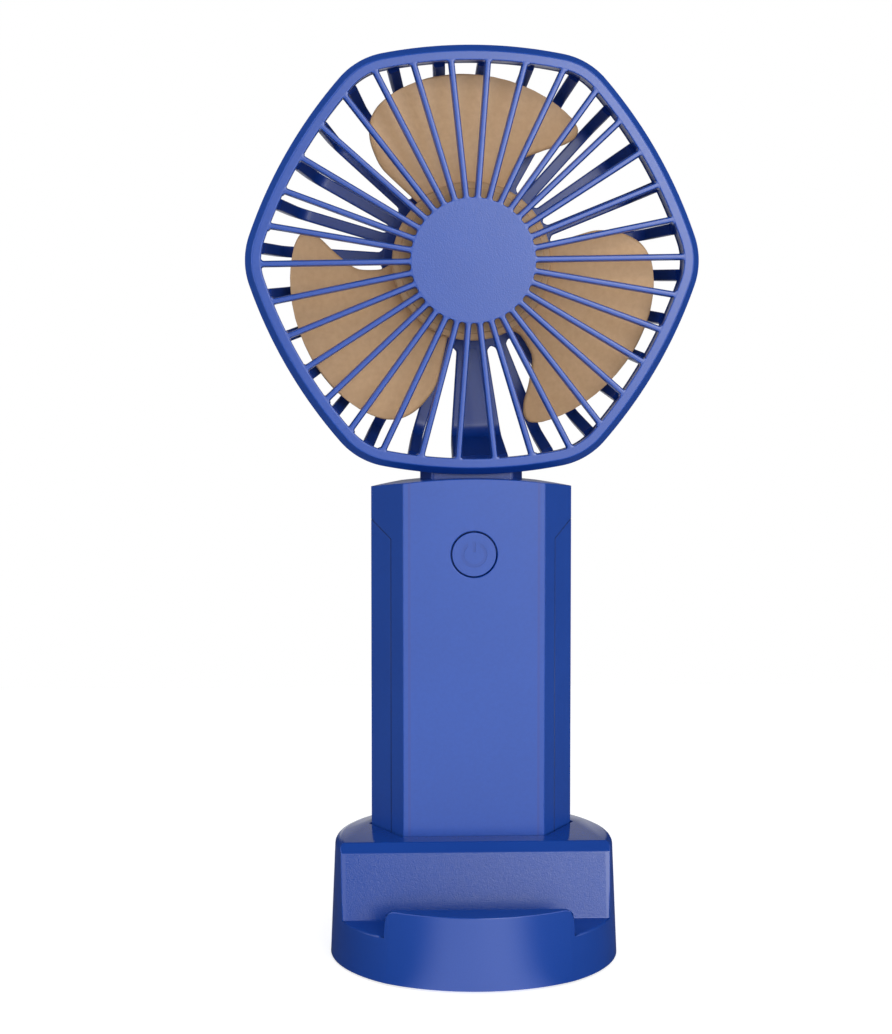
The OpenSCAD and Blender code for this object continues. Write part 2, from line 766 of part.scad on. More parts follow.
module board_leads() color(red)
    for (x = [-board_lead_x, board_lead_x]) lead([[x, board_lead_y, usb_board_z + board_t],
        [x, board_lead_y, board_lead_z], [x, board_back_y, board_lead_z]]);

module battery_cell() color(navy)
    translate([0, cell_y, cell_z0]) cylinder(h = cell_l, d = cell_d);

module battery_tabs() color(steel) {
    translate([0, cell_y, cell_z1]) cylinder(h = tab_t, r = tab_r);
    translate([0, cell_y, cell_z0 - tab_t]) cylinder(h = tab_t, r = tab_r);
}

module battery_lead_red() color(red)
    rod([-1.5, cell_y, cell_z1 + tab_t], [-1.5, cell_y, usb_board_z], lead_r);

module battery_lead_black() color(black)
    lead([[0, cell_y, cell_z0 - tab_t], [0, cell_y, cell_z0 - 1.6], [lead_x, lead_y, cell_z0 - 1.6],
        [lead_x, lead_y, cell_z1 + tab_t + 0.8], [lead_x, cell_y - 2, cell_z1 + tab_t + 0.8],
        [lead_x, cell_y - 2, usb_board_z]]);

module handle_screws() color(steel)
    at_handle_screws() translate([0, handle_head_y, 0]) rotate([90, 0, 0])
        screw(handle_head_y - front_inner_y - 2);

// The blades' edges: share of the tip radius and angle, clockwise from the top as seen from the front
trailing_edge = [[0.39, 72], [0.63, 75.8], [0.83, 80], [0.93, 85.5], [0.98, 92], [1, 101]];
leading_edge = [[0.39, 156], [0.44, 150], [0.55, 146], [0.67, 149], [0.8, 155.5], [0.88, 158.6],
    [0.93, 159.4], [0.965, 157.6], [0.985, 153.5], [1, 140]];
blade_shares = [(hub_r - hub_wall / 2) / tip_r, 0.46, 0.55, 0.67, 0.8, 0.88, 0.93, 0.965, 0.985, 1];
blade_steps = 8;
blade_set = 2.2;
blade_bulge = 0.8;
blade_front_y = hub_front_y + blade_set;

// A point of a blade's front (0) or back (1) face, t from the trailing edge to the leading edge
function blade_point(share, t, face) =
    let (turn = lookup(share, trailing_edge) * (1 - t) + lookup(share, leading_edge) * t)
    let (y = blade_front_y + blade_depth * t - blade_bulge * sin(180 * t) + face * blade_t)
    [share * tip_r * sin(turn), y, share * tip_r * cos(turn)];

module blade() {
    rows = len(blade_shares);
    cols = blade_steps + 1;
    size = rows * cols;
    points = [for (face = [0, 1], share = blade_shares, j = [0 : blade_steps])
        blade_point(share, j / blade_steps, face)];
    rim = concat([for (j = [0 : cols - 1]) j], [for (i = [1 : rows - 1]) i * cols + cols - 1],
        [for (j = [cols - 2 : -1 : 0]) (rows - 1) * cols + j], [for (i = [rows - 2 : -1 : 1]) i * cols]);
    front = [for (i = [0 : rows - 2], j = [0 : cols - 2]) each
        let (a = i * cols + j) [[a, a + cols, a + 1], [a + 1, a + cols, a + cols + 1]]];
    back = [for (f = front) [f[0] + size, f[2] + size, f[1] + size]];
    side = [for (k = [0 : len(rim) - 1]) each
        let (a = rim[k], b = rim[(k + 1) % len(rim)]) [[a, b, a + size], [b, b + size, a + size]]];
    polyhedron(points, concat(front, back, side));
}

module impeller() color(tan)
    translate([0, 0, head_z]) difference() {
        union() {
            difference() {
                rod_y(hub_front_y, hub_front_y + hub_d, hub_r);
                rod_y(hub_front_y + hub_wall, hub_front_y + hub_d + 1, hub_r - hub_wall);
            }
            rod_y(hub_front_y + hub_wall - lap, motor_front_y - 0.6, 3 * shaft_r);
            for (i = [0 : blade_count - 1]) rotate([0, i * 360 / blade_count, 0]) blade();
        }
        rod_y(shaft_y0, far, shaft_r);
    }

module motor_shaft() color(steel)
    rod_y(shaft_y0, shaft_y1, shaft_r, 0, head_z);

module rotor_core() color(steel)
    translate([0, 0, head_z]) difference() {
        rod_y(core_y0, core_y1, rotor_r);
        rod_y(0, far, shaft_r);
    }

// The ring of end turns on each end of the core
module rotor_windings() color(copper)
    translate([0, 0, head_z]) difference() {
        union() {
            rod_y(core_y0 - end_turn_d, core_y0, rotor_r - end_turn_gap);
            rod_y(core_y1, core_y1 + end_turn_d, rotor_r - end_turn_gap);
        }
        rod_y(0, far, commutator_r + brush_l + brush_clear);
    }

module commutator() color(copper)
    translate([0, 0, head_z]) difference() {
        rod_y(core_y1, commutator_y1, commutator_r);
        rod_y(0, far, shaft_r);
    }

// The power sign cut into the button: a ring open at the top and a bar
module power_sign() {
    ring_r = 2.25;
    line_w = 0.6;
    depth = 0.15;
    y0 = handle_front_y - button_proud;
    translate([0, 0, button_z]) {
        difference() {
            rod_y(y0 - 1, y0 + depth, ring_r + line_w / 2);
            rod_y(y0 - 2, y0 + 1, ring_r - line_w / 2);
            box([-2 * line_w, y0 - 2, 0], [2 * line_w, y0 + 1, 2 * ring_r]);
        }
        box([-line_w / 2, y0 - 1, 0.5], [line_w / 2, y0 + depth, ring_r + line_w / 2]);
    }
}

module button_cap() color(blue)
    difference() {
        union() {
            rod_y(handle_front_y - button_proud, cap_back_y + lap / 2, button_d / 2, 0, button_z);
            rod_y(cap_back_y, cap_back_y + cap_flange_t, button_d / 2 + 0.9, 0, button_z);
            rod_y(cap_back_y, stem_y1, 1.6, 0, button_z);
        }
        power_sign();
    }

module switch_plunger() color(black)
    rod_y(stem_y1, plunger_y1, plunger_r, 0, button_z);

dock_shell();
dock_ballast();
dock_plate();
foot_pad();
dock_screws();
handle_front();
handle_rear();
front_grille();
front_spokes();
rear_grille();
rear_back();
motor_seat();
motor_can();
motor_end_cap();
motor_magnets();
motor_brushes();
motor_bushes();
motor_lead_red();
motor_lead_black();
control_board();
switch_body();
board_screws();
usb_board();
usb_shell();
usb_tongue();
board_leads();
battery_cell();
battery_tabs();
battery_lead_red();
battery_lead_black();
handle_screws();
impeller();
motor_shaft();
rotor_core();
rotor_windings();
commutator();
button_cap();
switch_plunger();
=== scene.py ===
import json
import math
import bmesh
import bpy
import numpy as np
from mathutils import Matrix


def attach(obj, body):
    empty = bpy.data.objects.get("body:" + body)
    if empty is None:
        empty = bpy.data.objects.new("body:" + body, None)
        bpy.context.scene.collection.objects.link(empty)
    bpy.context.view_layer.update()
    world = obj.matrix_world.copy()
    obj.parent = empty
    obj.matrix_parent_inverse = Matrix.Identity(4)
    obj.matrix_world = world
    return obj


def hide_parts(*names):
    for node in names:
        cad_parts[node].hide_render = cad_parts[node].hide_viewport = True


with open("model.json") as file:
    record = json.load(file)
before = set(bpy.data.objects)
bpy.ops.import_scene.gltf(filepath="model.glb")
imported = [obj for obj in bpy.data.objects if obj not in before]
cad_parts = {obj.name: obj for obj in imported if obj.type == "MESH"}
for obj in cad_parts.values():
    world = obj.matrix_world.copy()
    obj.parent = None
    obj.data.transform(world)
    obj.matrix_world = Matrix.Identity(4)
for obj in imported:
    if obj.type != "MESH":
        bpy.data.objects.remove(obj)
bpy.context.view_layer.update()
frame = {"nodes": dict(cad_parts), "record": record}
nodes = frame["nodes"]
mm = 0.001
print("frame loaded:", len(nodes), "nodes")

# camera: the photograph's angle, a little from the left, looking slightly down
photo = {"wide": 892, "focal": 2095.8, "shift": 83, "place": (-21.5, -411.55, 125.26), "yaw": 2.225, "pitch": 3.089}
sensorWide = 36
cameraData = bpy.data.cameras.new("photoCamera")
cameraData.sensor_fit = "HORIZONTAL"
cameraData.sensor_width = sensorWide
cameraData.lens = photo["focal"] / photo["wide"] * sensorWide
cameraData.shift_y = -photo["shift"] / photo["wide"]
cameraData.clip_start = 0.01
camera = bpy.data.objects.new("photoCamera", cameraData)
camera.location = [v * mm for v in photo["place"]]
camera.rotation_euler = (math.radians(90 - photo["pitch"]), 0, math.radians(-photo["yaw"]))
bpy.context.scene.collection.objects.link(camera)
bpy.context.scene.camera = camera
bpy.context.scene.view_settings.view_transform = "Standard"
print("camera set")


# materials

def newNode(tree, kind, **values):
    node = tree.nodes.new(kind)
    for key, value in values.items():
        setattr(node, key, value)
    return node


grainMix = {"detail": 3, "rough": 0.6, "broadDetail": 2, "fineShare": 0.55, "mean": 0.5, "tone": (0.35, 0.65),
            "deep": 0.1}


def makeGrainGroup():
    # fine noise for grain and a broad noise for slow changes; Tone drives colour, Rough gloss, Height the bump
    group = bpy.data.node_groups.new("mouldedGrain", "ShaderNodeTree")
    for label, kind in (("Place", "NodeSocketVector"), ("Fine Scale", "NodeSocketFloat"),
                        ("Broad Scale", "NodeSocketFloat"), ("Gloss Mean", "NodeSocketFloat"),
                        ("Gloss Spread", "NodeSocketFloat")):
        group.interface.new_socket(label, in_out="INPUT", socket_type=kind)
    for label in ("Tone", "Rough", "Height"):
        group.interface.new_socket(label, in_out="OUTPUT", socket_type="NodeSocketFloat")
    inside = newNode(group, "NodeGroupInput")
    outside = newNode(group, "NodeGroupOutput")
    fine = newNode(group, "ShaderNodeTexNoise")
    fine.inputs["Detail"].default_value = grainMix["detail"]
    fine.inputs["Roughness"].default_value = grainMix["rough"]
    broad = newNode(group, "ShaderNodeTexNoise")
    broad.inputs["Detail"].default_value = grainMix["broadDetail"]
    toneMix = newNode(group, "ShaderNodeMath", operation="MULTIPLY_ADD")
    toneMix.inputs[1].default_value = grainMix["fineShare"]
    toneBroad = newNode(group, "ShaderNodeMath", operation="MULTIPLY")
    toneBroad.inputs[1].default_value = 1 - grainMix["fineShare"]
    centred = newNode(group, "ShaderNodeMath", operation="SUBTRACT")
    centred.inputs[1].default_value = grainMix["mean"]
    gloss = newNode(group, "ShaderNodeMath", operation="MULTIPLY_ADD")
    link = group.links.new
    link(inside.outputs["Place"], fine.inputs["Vector"])
    link(inside.outputs["Place"], broad.inputs["Vector"])
    link(inside.outputs["Fine Scale"], fine.inputs["Scale"])
    link(inside.outputs["Broad Scale"], broad.inputs["Scale"])
    link(broad.outputs["Fac"], toneBroad.inputs[0])
    link(fine.outputs["Fac"], toneMix.inputs[0])
    link(toneBroad.outputs[0], toneMix.inputs[2])
    link(fine.outputs["Fac"], centred.inputs[0])
    link(centred.outputs[0], gloss.inputs[0])
    link(inside.outputs["Gloss Spread"], gloss.inputs[1])
    link(inside.outputs["Gloss Mean"], gloss.inputs[2])
    link(toneMix.outputs[0], outside.inputs["Tone"])
    link(gloss.outputs[0], outside.inputs["Rough"])
    link(fine.outputs["Fac"], outside.inputs["Height"])
    return group


grainGroup = makeGrainGroup()


def makeFinish(name, dark, light, gloss, spread, fine, broad, bump, specular=0.5, metallic=0.0):
    # a Principled surface whose colour, gloss and bump come from the shared grain group
    material = bpy.data.materials.new(name)
    material.use_nodes = True
    tree = material.node_tree
    shader = tree.nodes["Principled BSDF"]
    shader.inputs["Specular IOR Level"].default_value = specular
    shader.inputs["Metallic"].default_value = metallic
    place = newNode(tree, "ShaderNodeTexCoord")
    grain = newNode(tree, "ShaderNodeGroup", node_tree=grainGroup, name="grain")
    grain.inputs["Fine Scale"].default_value = fine
    grain.inputs["Broad Scale"].default_value = broad
    grain.inputs["Gloss Mean"].default_value = gloss
    grain.inputs["Gloss Spread"].default_value = spread
    ramp = newNode(tree, "ShaderNodeMapRange", name="toneRange")
    ramp.inputs["From Min"].default_value = grainMix["tone"][0]
    ramp.inputs["From Max"].default_value = grainMix["tone"][1]
    tint = newNode(tree, "ShaderNodeMix", data_type="RGBA", name="tint")
    tint.inputs[6].default_value = (*dark, 1)
    tint.inputs[7].default_value = (*light, 1)
    relief = newNode(tree, "ShaderNodeBump", name="relief")
    relief.inputs["Strength"].default_value = bump
    relief.inputs["Distance"].default_value = grainMix["deep"] * mm
    link = tree.links.new
    link(place.outputs["Object"], grain.inputs["Place"])
    link(grain.outputs["Tone"], ramp.inputs["Value"])
    link(ramp.outputs["Result"], tint.inputs[0])
    link(tint.outputs[2], shader.inputs["Base Color"])
    link(grain.outputs["Rough"], shader.inputs["Roughness"])
    link(grain.outputs["Height"], relief.inputs["Height"])
    link(relief.outputs["Normal"], shader.inputs["Normal"])
    return material


bluePlastic = {"dark": (0.0068, 0.0545, 0.320), "light": (0.0088, 0.0625, 0.356), "specular": 0.43}
dockPlastic = {"dark": (0.005, 0.0465, 0.288), "light": (0.0065, 0.0535, 0.32), "specular": 0.42}
# shadedBlue is a darker copy of the same blue plastic: painted shade for parts that sit in shade behind the front
shadedBlue = {"dark": (0.002, 0.030, 0.215), "light": (0.003, 0.036, 0.245), "specular": 0.42}
handleBlue = makeFinish("handleBlue", **bluePlastic, gloss=0.40, spread=0.06, fine=1400, broad=45, bump=0.05)
grilleBlue = makeFinish("grilleBlue", **bluePlastic, gloss=0.36, spread=0.10, fine=1700, broad=90, bump=0.03)
discBlue = makeFinish("discBlue", **bluePlastic, gloss=0.36, spread=0.24, fine=3900, broad=90, bump=0.32)
# rearShadeBlue: the shaded blue, painted shade on the rear grille, its spokes, stem and hub, and the neck
rearShadeBlue = makeFinish("rearShadeBlue", **shadedBlue, gloss=0.38, spread=0.10, fine=1900, broad=70, bump=0.02)
dockBlue = makeFinish("dockBlue", **dockPlastic, gloss=0.31, spread=0.05, fine=4100, broad=50, bump=0.02)
buttonBlue = makeFinish("buttonBlue", **bluePlastic, gloss=0.38, spread=0.08, fine=1900, broad=160, bump=0.10)
bladeTan = makeFinish("bladeTan", (0.55, 0.337, 0.171), (0.63, 0.399, 0.214), gloss=0.52, spread=0.10, fine=900,
                      broad=60, bump=0.05, specular=0.3)
plateNavy = makeFinish("plateNavy", (0.004, 0.03, 0.19), (0.006, 0.038, 0.23), gloss=0.45, spread=0.12, fine=1800,
                       broad=80, bump=0.2, specular=0.3)
padRubber = makeFinish("padRubber", (0.010, 0.010, 0.011), (0.022, 0.022, 0.024), gloss=0.78, spread=0.14, fine=1300,
                       broad=60, bump=0.5, specular=0.3)
steelBare = makeFinish("steelBare", (0.46, 0.47, 0.49), (0.62, 0.63, 0.65), gloss=0.32, spread=0.16, fine=1600,
                       broad=220, bump=0.06, metallic=1.0)
brassBare = makeFinish("brassBare", (0.52, 0.34, 0.10), (0.66, 0.47, 0.17), gloss=0.28, spread=0.14, fine=1600,
                       broad=200, bump=0.06, metallic=1.0)
copperBare = makeFinish("copperBare", (0.48, 0.19, 0.07), (0.62, 0.28, 0.12), gloss=0.30, spread=0.14, fine=1800,
                        broad=200, bump=0.08, metallic=1.0)
blackPlastic = makeFinish("blackPlastic", (0.010, 0.010, 0.011), (0.020, 0.020, 0.022), gloss=0.42, spread=0.12,
                          fine=1700, broad=120, bump=0.12)
boardGreen = makeFinish("boardGreen", (0.008, 0.075, 0.030), (0.016, 0.115, 0.050), gloss=0.30, spread=0.10,
                        fine=900, broad=140, bump=0.06)
redPlastic = makeFinish("redPlastic", (0.40, 0.012, 0.010), (0.52, 0.022, 0.016), gloss=0.34, spread=0.10, fine=1500,
                        broad=120, bump=0.06)
magnetDark = makeFinish("magnetDark", (0.035, 0.035, 0.038), (0.065, 0.065, 0.070), gloss=0.60, spread=0.14,
                        fine=1900, broad=150, bump=0.25)
slotFinish = {"blue_matte": handleBlue, "blue_gloss": dockBlue, "navy": plateNavy, "tan": bladeTan,
              "black_plastic": blackPlastic, "board_green": boardGreen, "red_plastic": redPlastic, "rubber": padRubber,
              "steel": steelBare, "brass": brassBare, "copper": copperBare, "magnet": magnetDark}


def maskOf(tree, tests):
    # one where every test holds; limits and widths are in millimetres
    product = None
    for source, operation, limit, width in tests:
        test = newNode(tree, "ShaderNodeMath", operation=operation)
        test.inputs[1].default_value = limit * mm
        test.inputs[2].default_value = width * mm
        tree.links.new(source, test.inputs[0])
        if product is None:
            product = test.outputs[0]
        else:
            both = newNode(tree, "ShaderNodeMath", operation="MULTIPLY")
            tree.links.new(product, both.inputs[0])
            tree.links.new(test.outputs[0], both.inputs[1])
            product = both.outputs[0]
    return product


def placeParts(tree):
    # the Object coordinates' X, Y and Z and the distance to the middle plane
    place = newNode(tree, "ShaderNodeTexCoord")
    parts = newNode(tree, "ShaderNodeSeparateXYZ")
    side = newNode(tree, "ShaderNodeMath", operation="ABSOLUTE")
    tree.links.new(place.outputs["Object"], parts.inputs[0])
    tree.links.new(parts.outputs["X"], side.inputs[0])
    return parts, side.outputs[0]


def shadeWhere(tree, mask, amount, colour):
    # mixes a share of a colour into the base colour where a mask is one
    base = tree.nodes["Principled BSDF"].inputs["Base Color"]
    share = newNode(tree, "ShaderNodeMath", operation="MULTIPLY")
    share.inputs[1].default_value = amount
    shade = newNode(tree, "ShaderNodeMix", data_type="RGBA")
    shade.inputs[7].default_value = (*colour, 1)
    tree.links.new(mask, share.inputs[0])
    tree.links.new(share.outputs[0], shade.inputs[0])
    tree.links.new(base.links[0].from_socket, shade.inputs[6])
    tree.links.new(shade.outputs[2], base)


def grainSlope(material):
    # the phone rest's slope is grained and the top face polished: masks from their places
    tree = material.node_tree
    shader = tree.nodes["Principled BSDF"]
    grain = tree.nodes["grain"]
    relief = tree.nodes["relief"]
    slope = {"front": -10.45, "back": -7.75, "low": 9.25, "high": 21.55, "half": 25.4, "top": 23.2,
             "gloss": -0.03, "polish": -0.20, "relief": 0.32, "plain": 0.02, "dull": -0.15}
    parts, side = placeParts(tree)
    link = tree.links.new
    mask = maskOf(tree, ((parts.outputs["Y"], "GREATER_THAN", slope["front"], 0),
                         (parts.outputs["Y"], "LESS_THAN", slope["back"], 0),
                         (parts.outputs["Z"], "GREATER_THAN", slope["low"], 0),
                         (parts.outputs["Z"], "LESS_THAN", slope["high"], 0),
                         (side, "LESS_THAN", slope["half"], 0)))
    grained = newNode(tree, "ShaderNodeMath", operation="MULTIPLY_ADD")
    grained.inputs[1].default_value = slope["gloss"]
    link(mask, grained.inputs[0])
    link(grain.outputs["Rough"], grained.inputs[2])
    above = newNode(tree, "ShaderNodeMath", operation="GREATER_THAN")
    above.inputs[1].default_value = slope["top"] * mm
    link(parts.outputs["Z"], above.inputs[0])
    smoother = newNode(tree, "ShaderNodeMath", operation="MULTIPLY_ADD")
    smoother.inputs[1].default_value = slope["polish"]
    link(above.outputs[0], smoother.inputs[0])
    link(grained.outputs[0], smoother.inputs[2])
    link(smoother.outputs[0], shader.inputs["Roughness"])
    deeper = newNode(tree, "ShaderNodeMath", operation="MULTIPLY_ADD")
    deeper.inputs[1].default_value = slope["relief"]
    deeper.inputs[2].default_value = slope["plain"]
    link(mask, deeper.inputs[0])
    link(deeper.outputs[0], relief.inputs["Strength"])
    duller = newNode(tree, "ShaderNodeMath", operation="MULTIPLY_ADD")
    duller.inputs[1].default_value = slope["dull"]
    duller.inputs[2].default_value = dockPlastic["specular"]
    link(mask, duller.inputs[0])
    link(duller.outputs[0], shader.inputs["Specular IOR Level"])


grainSlope(dockBlue)


def paintSignShade(material):
    # painted shade: the power sign's floor, which lies behind the cap's face, is darkened with the shaded blue as if
    # in shade
    tree = material.node_tree
    sign = {"floor": -1.08, "share": 0.22}
    parts = placeParts(tree)[0]
    behind = maskOf(tree, ((parts.outputs["Y"], "GREATER_THAN", sign["floor"], 0),))
    shadeWhere(tree, behind, sign["share"], shadedBlue["dark"])


paintSignShade(buttonBlue)


def lineHandle(material):
    # faint upright lines beside the front's edges, and a dark line along the seam of the two shells
    tree = material.node_tree
    front = {"half": 12.8, "width": 0.5, "face": -0.9, "share": 0.3, "tint": (0.035, 0.03, 0.16)}
    seam = {"y": 3.15, "width": 0.36, "shoulder": 82, "peak": 85.4, "back": 10, "share": 0.75,
            "tint": (0.001, 0.014, 0.09)}
    parts, side = placeParts(tree)
    ahead = maskOf(tree, ((side, "COMPARE", front["half"], front["width"] / 2),
                          (parts.outputs["Y"], "LESS_THAN", front["face"], 0)))
    shadeWhere(tree, ahead, front["share"], front["tint"])
    upright = maskOf(tree, ((parts.outputs["Y"], "COMPARE", seam["y"], seam["width"] / 2),
                            (parts.outputs["Z"], "LESS_THAN", seam["shoulder"], 0)))
    climb = (seam["peak"] - seam["shoulder"]) / (seam["back"] - seam["y"])
    level = newNode(tree, "ShaderNodeMath", operation="MULTIPLY_ADD")
    level.inputs[1].default_value = -climb
    tree.links.new(parts.outputs["Y"], level.inputs[0])
    tree.links.new(parts.outputs["Z"], level.inputs[2])
    leaning = maskOf(tree, ((level.outputs[0], "COMPARE", seam["shoulder"] - climb * seam["y"], seam["width"] / 2),
                            (parts.outputs["Y"], "GREATER_THAN", seam["y"], 0)))
    for mask in (upright, leaning):
        shadeWhere(tree, mask, seam["share"], seam["tint"])


lineHandle(handleBlue)
print("materials made:", len(bpy.data.materials))


# mesh helpers

weld = {"piece": 1e-6, "sliver": 1e-7, "copy": 2e-6}


def gridFaces(rows, cols, wrapRows=False, wrapCols=False):
    # quads over a grid of points, row by row; a wrapped direction joins its last line to its first
    i, j = np.meshgrid(np.arange(rows - (not wrapRows)), np.arange(cols - (not wrapCols)), indexing="ij")
    nextI = (i + 1) % rows
    nextJ = (j + 1) % cols
    return np.stack([i * cols + j, i * cols + nextJ, nextI * cols + nextJ, nextI * cols + j], -1).reshape(-1, 4)


def tubeFaces(stations, around):
    # a closed section carried along stations, with a flat cap at each end
    sides = gridFaces(stations, around, wrapCols=True).tolist()
    return sides + [list(range(around)), list(range((stations - 1) * around, stations * around))]


def repeatFaces(faces, count, copies):
    return [[v + k * count for v in face] for k in range(copies) for face in faces]


def addPiece(name, points, faces, material, body, stands, sharp=38):
    # points in millimetres in the row frame; doubles merge, normals turn outwards, soft shading below the sharp angle
    mesh = bpy.data.meshes.new(name)
    mesh.from_pydata((np.reshape(points, (-1, 3)) * mm).tolist(), [], [list(f) for f in faces])
    build = bmesh.new()
    build.from_mesh(mesh)
    bmesh.ops.remove_doubles(build, verts=build.verts, dist=weld["piece"])
    bmesh.ops.dissolve_degenerate(build, edges=build.edges, dist=weld["sliver"])
    bmesh.ops.recalc_face_normals(build, faces=build.faces)
    build.to_mesh(mesh)
    build.free()
    mesh.shade_smooth()
    mesh.set_sharp_from_angle(angle=math.radians(sharp))
    return placePiece(name, mesh, material, body, stands)


def placePiece(name, mesh, material, body, stands):
    mesh.materials.clear()
    mesh.materials.append(material)
    piece = bpy.data.objects.new(name, mesh)
    bpy.context.scene.collection.objects.link(piece)
    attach(piece, body)
    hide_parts(*stands)
    return piece


def roundProfile(corners, radii, steps=5, support=0.12):
    # every corner of a flat polygon becomes an arc that touches both sides, with a support point on each side
    corners = np.array(corners, float)
    towardsLast = np.roll(corners, 1, 0) - corners
    towardsNext = np.roll(corners, -1, 0) - corners
    towardsLast /= np.linalg.norm(towardsLast, axis=1, keepdims=True)
    towardsNext /= np.linalg.norm(towardsNext, axis=1, keepdims=True)
    half = np.arccos(np.clip((towardsLast * towardsNext).sum(1), -1, 1)) / 2
    radii = np.array(radii, float)
    reach = (radii / np.tan(half))[:, None]
    middle = towardsLast + towardsNext
    middle /= np.linalg.norm(middle, axis=1, keepdims=True)
    centre = corners + middle * (radii / np.sin(half))[:, None]
    first = corners + towardsLast * reach - centre
    last = corners + towardsNext * reach - centre
    angle0 = np.arctan2(first[:, 1], first[:, 0])
    sweep = (np.arctan2(last[:, 1], last[:, 0]) - angle0 + np.pi) % (2 * np.pi) - np.pi
    turn = angle0[:, None] + sweep[:, None] * np.linspace(0, 1, steps)[None]
    arc = centre[:, None] + radii[:, None, None] * np.stack([np.cos(turn), np.sin(turn)], -1)
    before = corners + towardsLast * (reach + support)
    after = corners + towardsNext * (reach + support)
    return np.concatenate([before[:, None], arc, after[:, None]], 1).reshape(-1, 2)


# the head's bowed hexagon

head = {"z": 137.2, "apothem": 42.5, "bow": 94.2, "corner": 14.9, "front": 2.5, "part": 11.0, "back": 27.0}
bowBack = head["bow"] - head["apothem"]
cornerPlace = math.sqrt((head["bow"] - head["corner"]) ** 2 - (bowBack / 2) ** 2) - bowBack * math.cos(math.pi / 6)
cornerHalf = math.degrees(math.atan2(bowBack / 2, cornerPlace + bowBack * math.cos(math.pi / 6)))


def headRing(inset, theta):
    # the outline by its outward normal's angle: six long arcs joined by six corner arcs, all drawn in by an inset
    turn = (theta + 30) % 60 - 30
    corner = np.radians(theta - turn)
    side = corner + np.where(turn >= 0, 1, -1) * math.pi / 6
    onCorner = np.abs(turn) < cornerHalf
    radius = np.where(onCorner, head["corner"], head["bow"]) - inset
    x = np.where(onCorner, cornerPlace * np.cos(corner), -bowBack * np.cos(side)) + radius * np.cos(np.radians(theta))
    z = np.where(onCorner, cornerPlace * np.sin(corner), -bowBack * np.sin(side)) + radius * np.sin(np.radians(theta))
    return x, z


def rayReach(clockwise, inset):
    # distance from the head's middle to the drawn-in outline, along rays given clockwise from the top in degrees
    x, z = headRing(inset, np.linspace(0, 360, 1441)[:-1])
    polar = np.degrees(np.arctan2(x, z)) % 360
    order = np.argsort(polar)
    return np.interp(clockwise % 360, polar[order], np.hypot(x, z)[order], period=360)


sixths = np.arange(6)[:, None] * 60
ringTheta = np.concatenate([sixths + np.linspace(-cornerHalf, cornerHalf, 17)[None, :-1],
                            sixths + np.linspace(cornerHalf, 60 - cornerHalf, 25)[None, :-1]], 1).reshape(-1)


def ringPoints(profile):
    # a profile of (inset, y) carried round the head's outline
    x, z = headRing(profile[:, :1], ringTheta[None])
    return np.stack([x, np.broadcast_to(profile[:, 1:], x.shape), z + head["z"]], -1)


def lathePoints(profile, count=120):
    # a profile of (radius, y) turned about the head's axis
    turn = np.linspace(0, 2 * np.pi, count, endpoint=False)
    radius = profile[:, :1]
    y = np.broadcast_to(profile[:, 1:], (len(profile), count))
    return np.stack([radius * np.sin(turn), y, radius * np.cos(turn) + head["z"]], -1)


def openProfile(corners, radii, steps=5):
    # like roundProfile, but the first and last points stay as they are
    inner = roundProfile(corners, radii, steps).reshape(len(corners), -1, 2)[1:-1].reshape(-1, 2)
    return np.concatenate([[corners[0]], inner, [corners[-1]]])


# front grille: rim, spokes and disc

rim = {"bevel": 1.4, "bevelDeep": 2.4, "opening": 3.25, "face": 2.0, "wall": 1.8, "gap": 0.05,
       "rounds": [0.12, 0.5, 0.42, 0.22, 0.2, 0.15, 0.1]}
frontY = head["front"]
rimProfile = roundProfile(
    [(0, head["part"] - rim["gap"]), (0, frontY + rim["bevelDeep"]), (rim["bevel"], frontY), (rim["opening"], frontY),
     (rim["opening"], frontY + rim["face"]), (rim["wall"], frontY + rim["face"]),
     (rim["wall"], head["part"] - rim["gap"])], rim["rounds"], 6, 0.08)
rimPoints = ringPoints(rimProfile)
frontRim = addPiece("frontRim", rimPoints, gridFaces(*rimPoints.shape[:2], True, True), grilleBlue, "fan",
                    ["front_grille"])

spoke = {"count": 34, "roll": 1.04, "front": 0.45, "back": 0.66, "deep": 2.2, "edge": 0.16, "root": 12.0,
         "fillet": 0.45, "sink": 0.5, "chamfer": 0.25, "set": 0.01}
disc = {"radius": 12.4, "thick": 2.0, "rounds": [0.1, 0.15, 0.2, 0.1]}


def flare(gap, size):
    # a fillet's extra half width at a distance from the wall it runs into
    near = np.clip(gap, 0, size)
    return size - np.sqrt(size ** 2 - (size - near) ** 2)


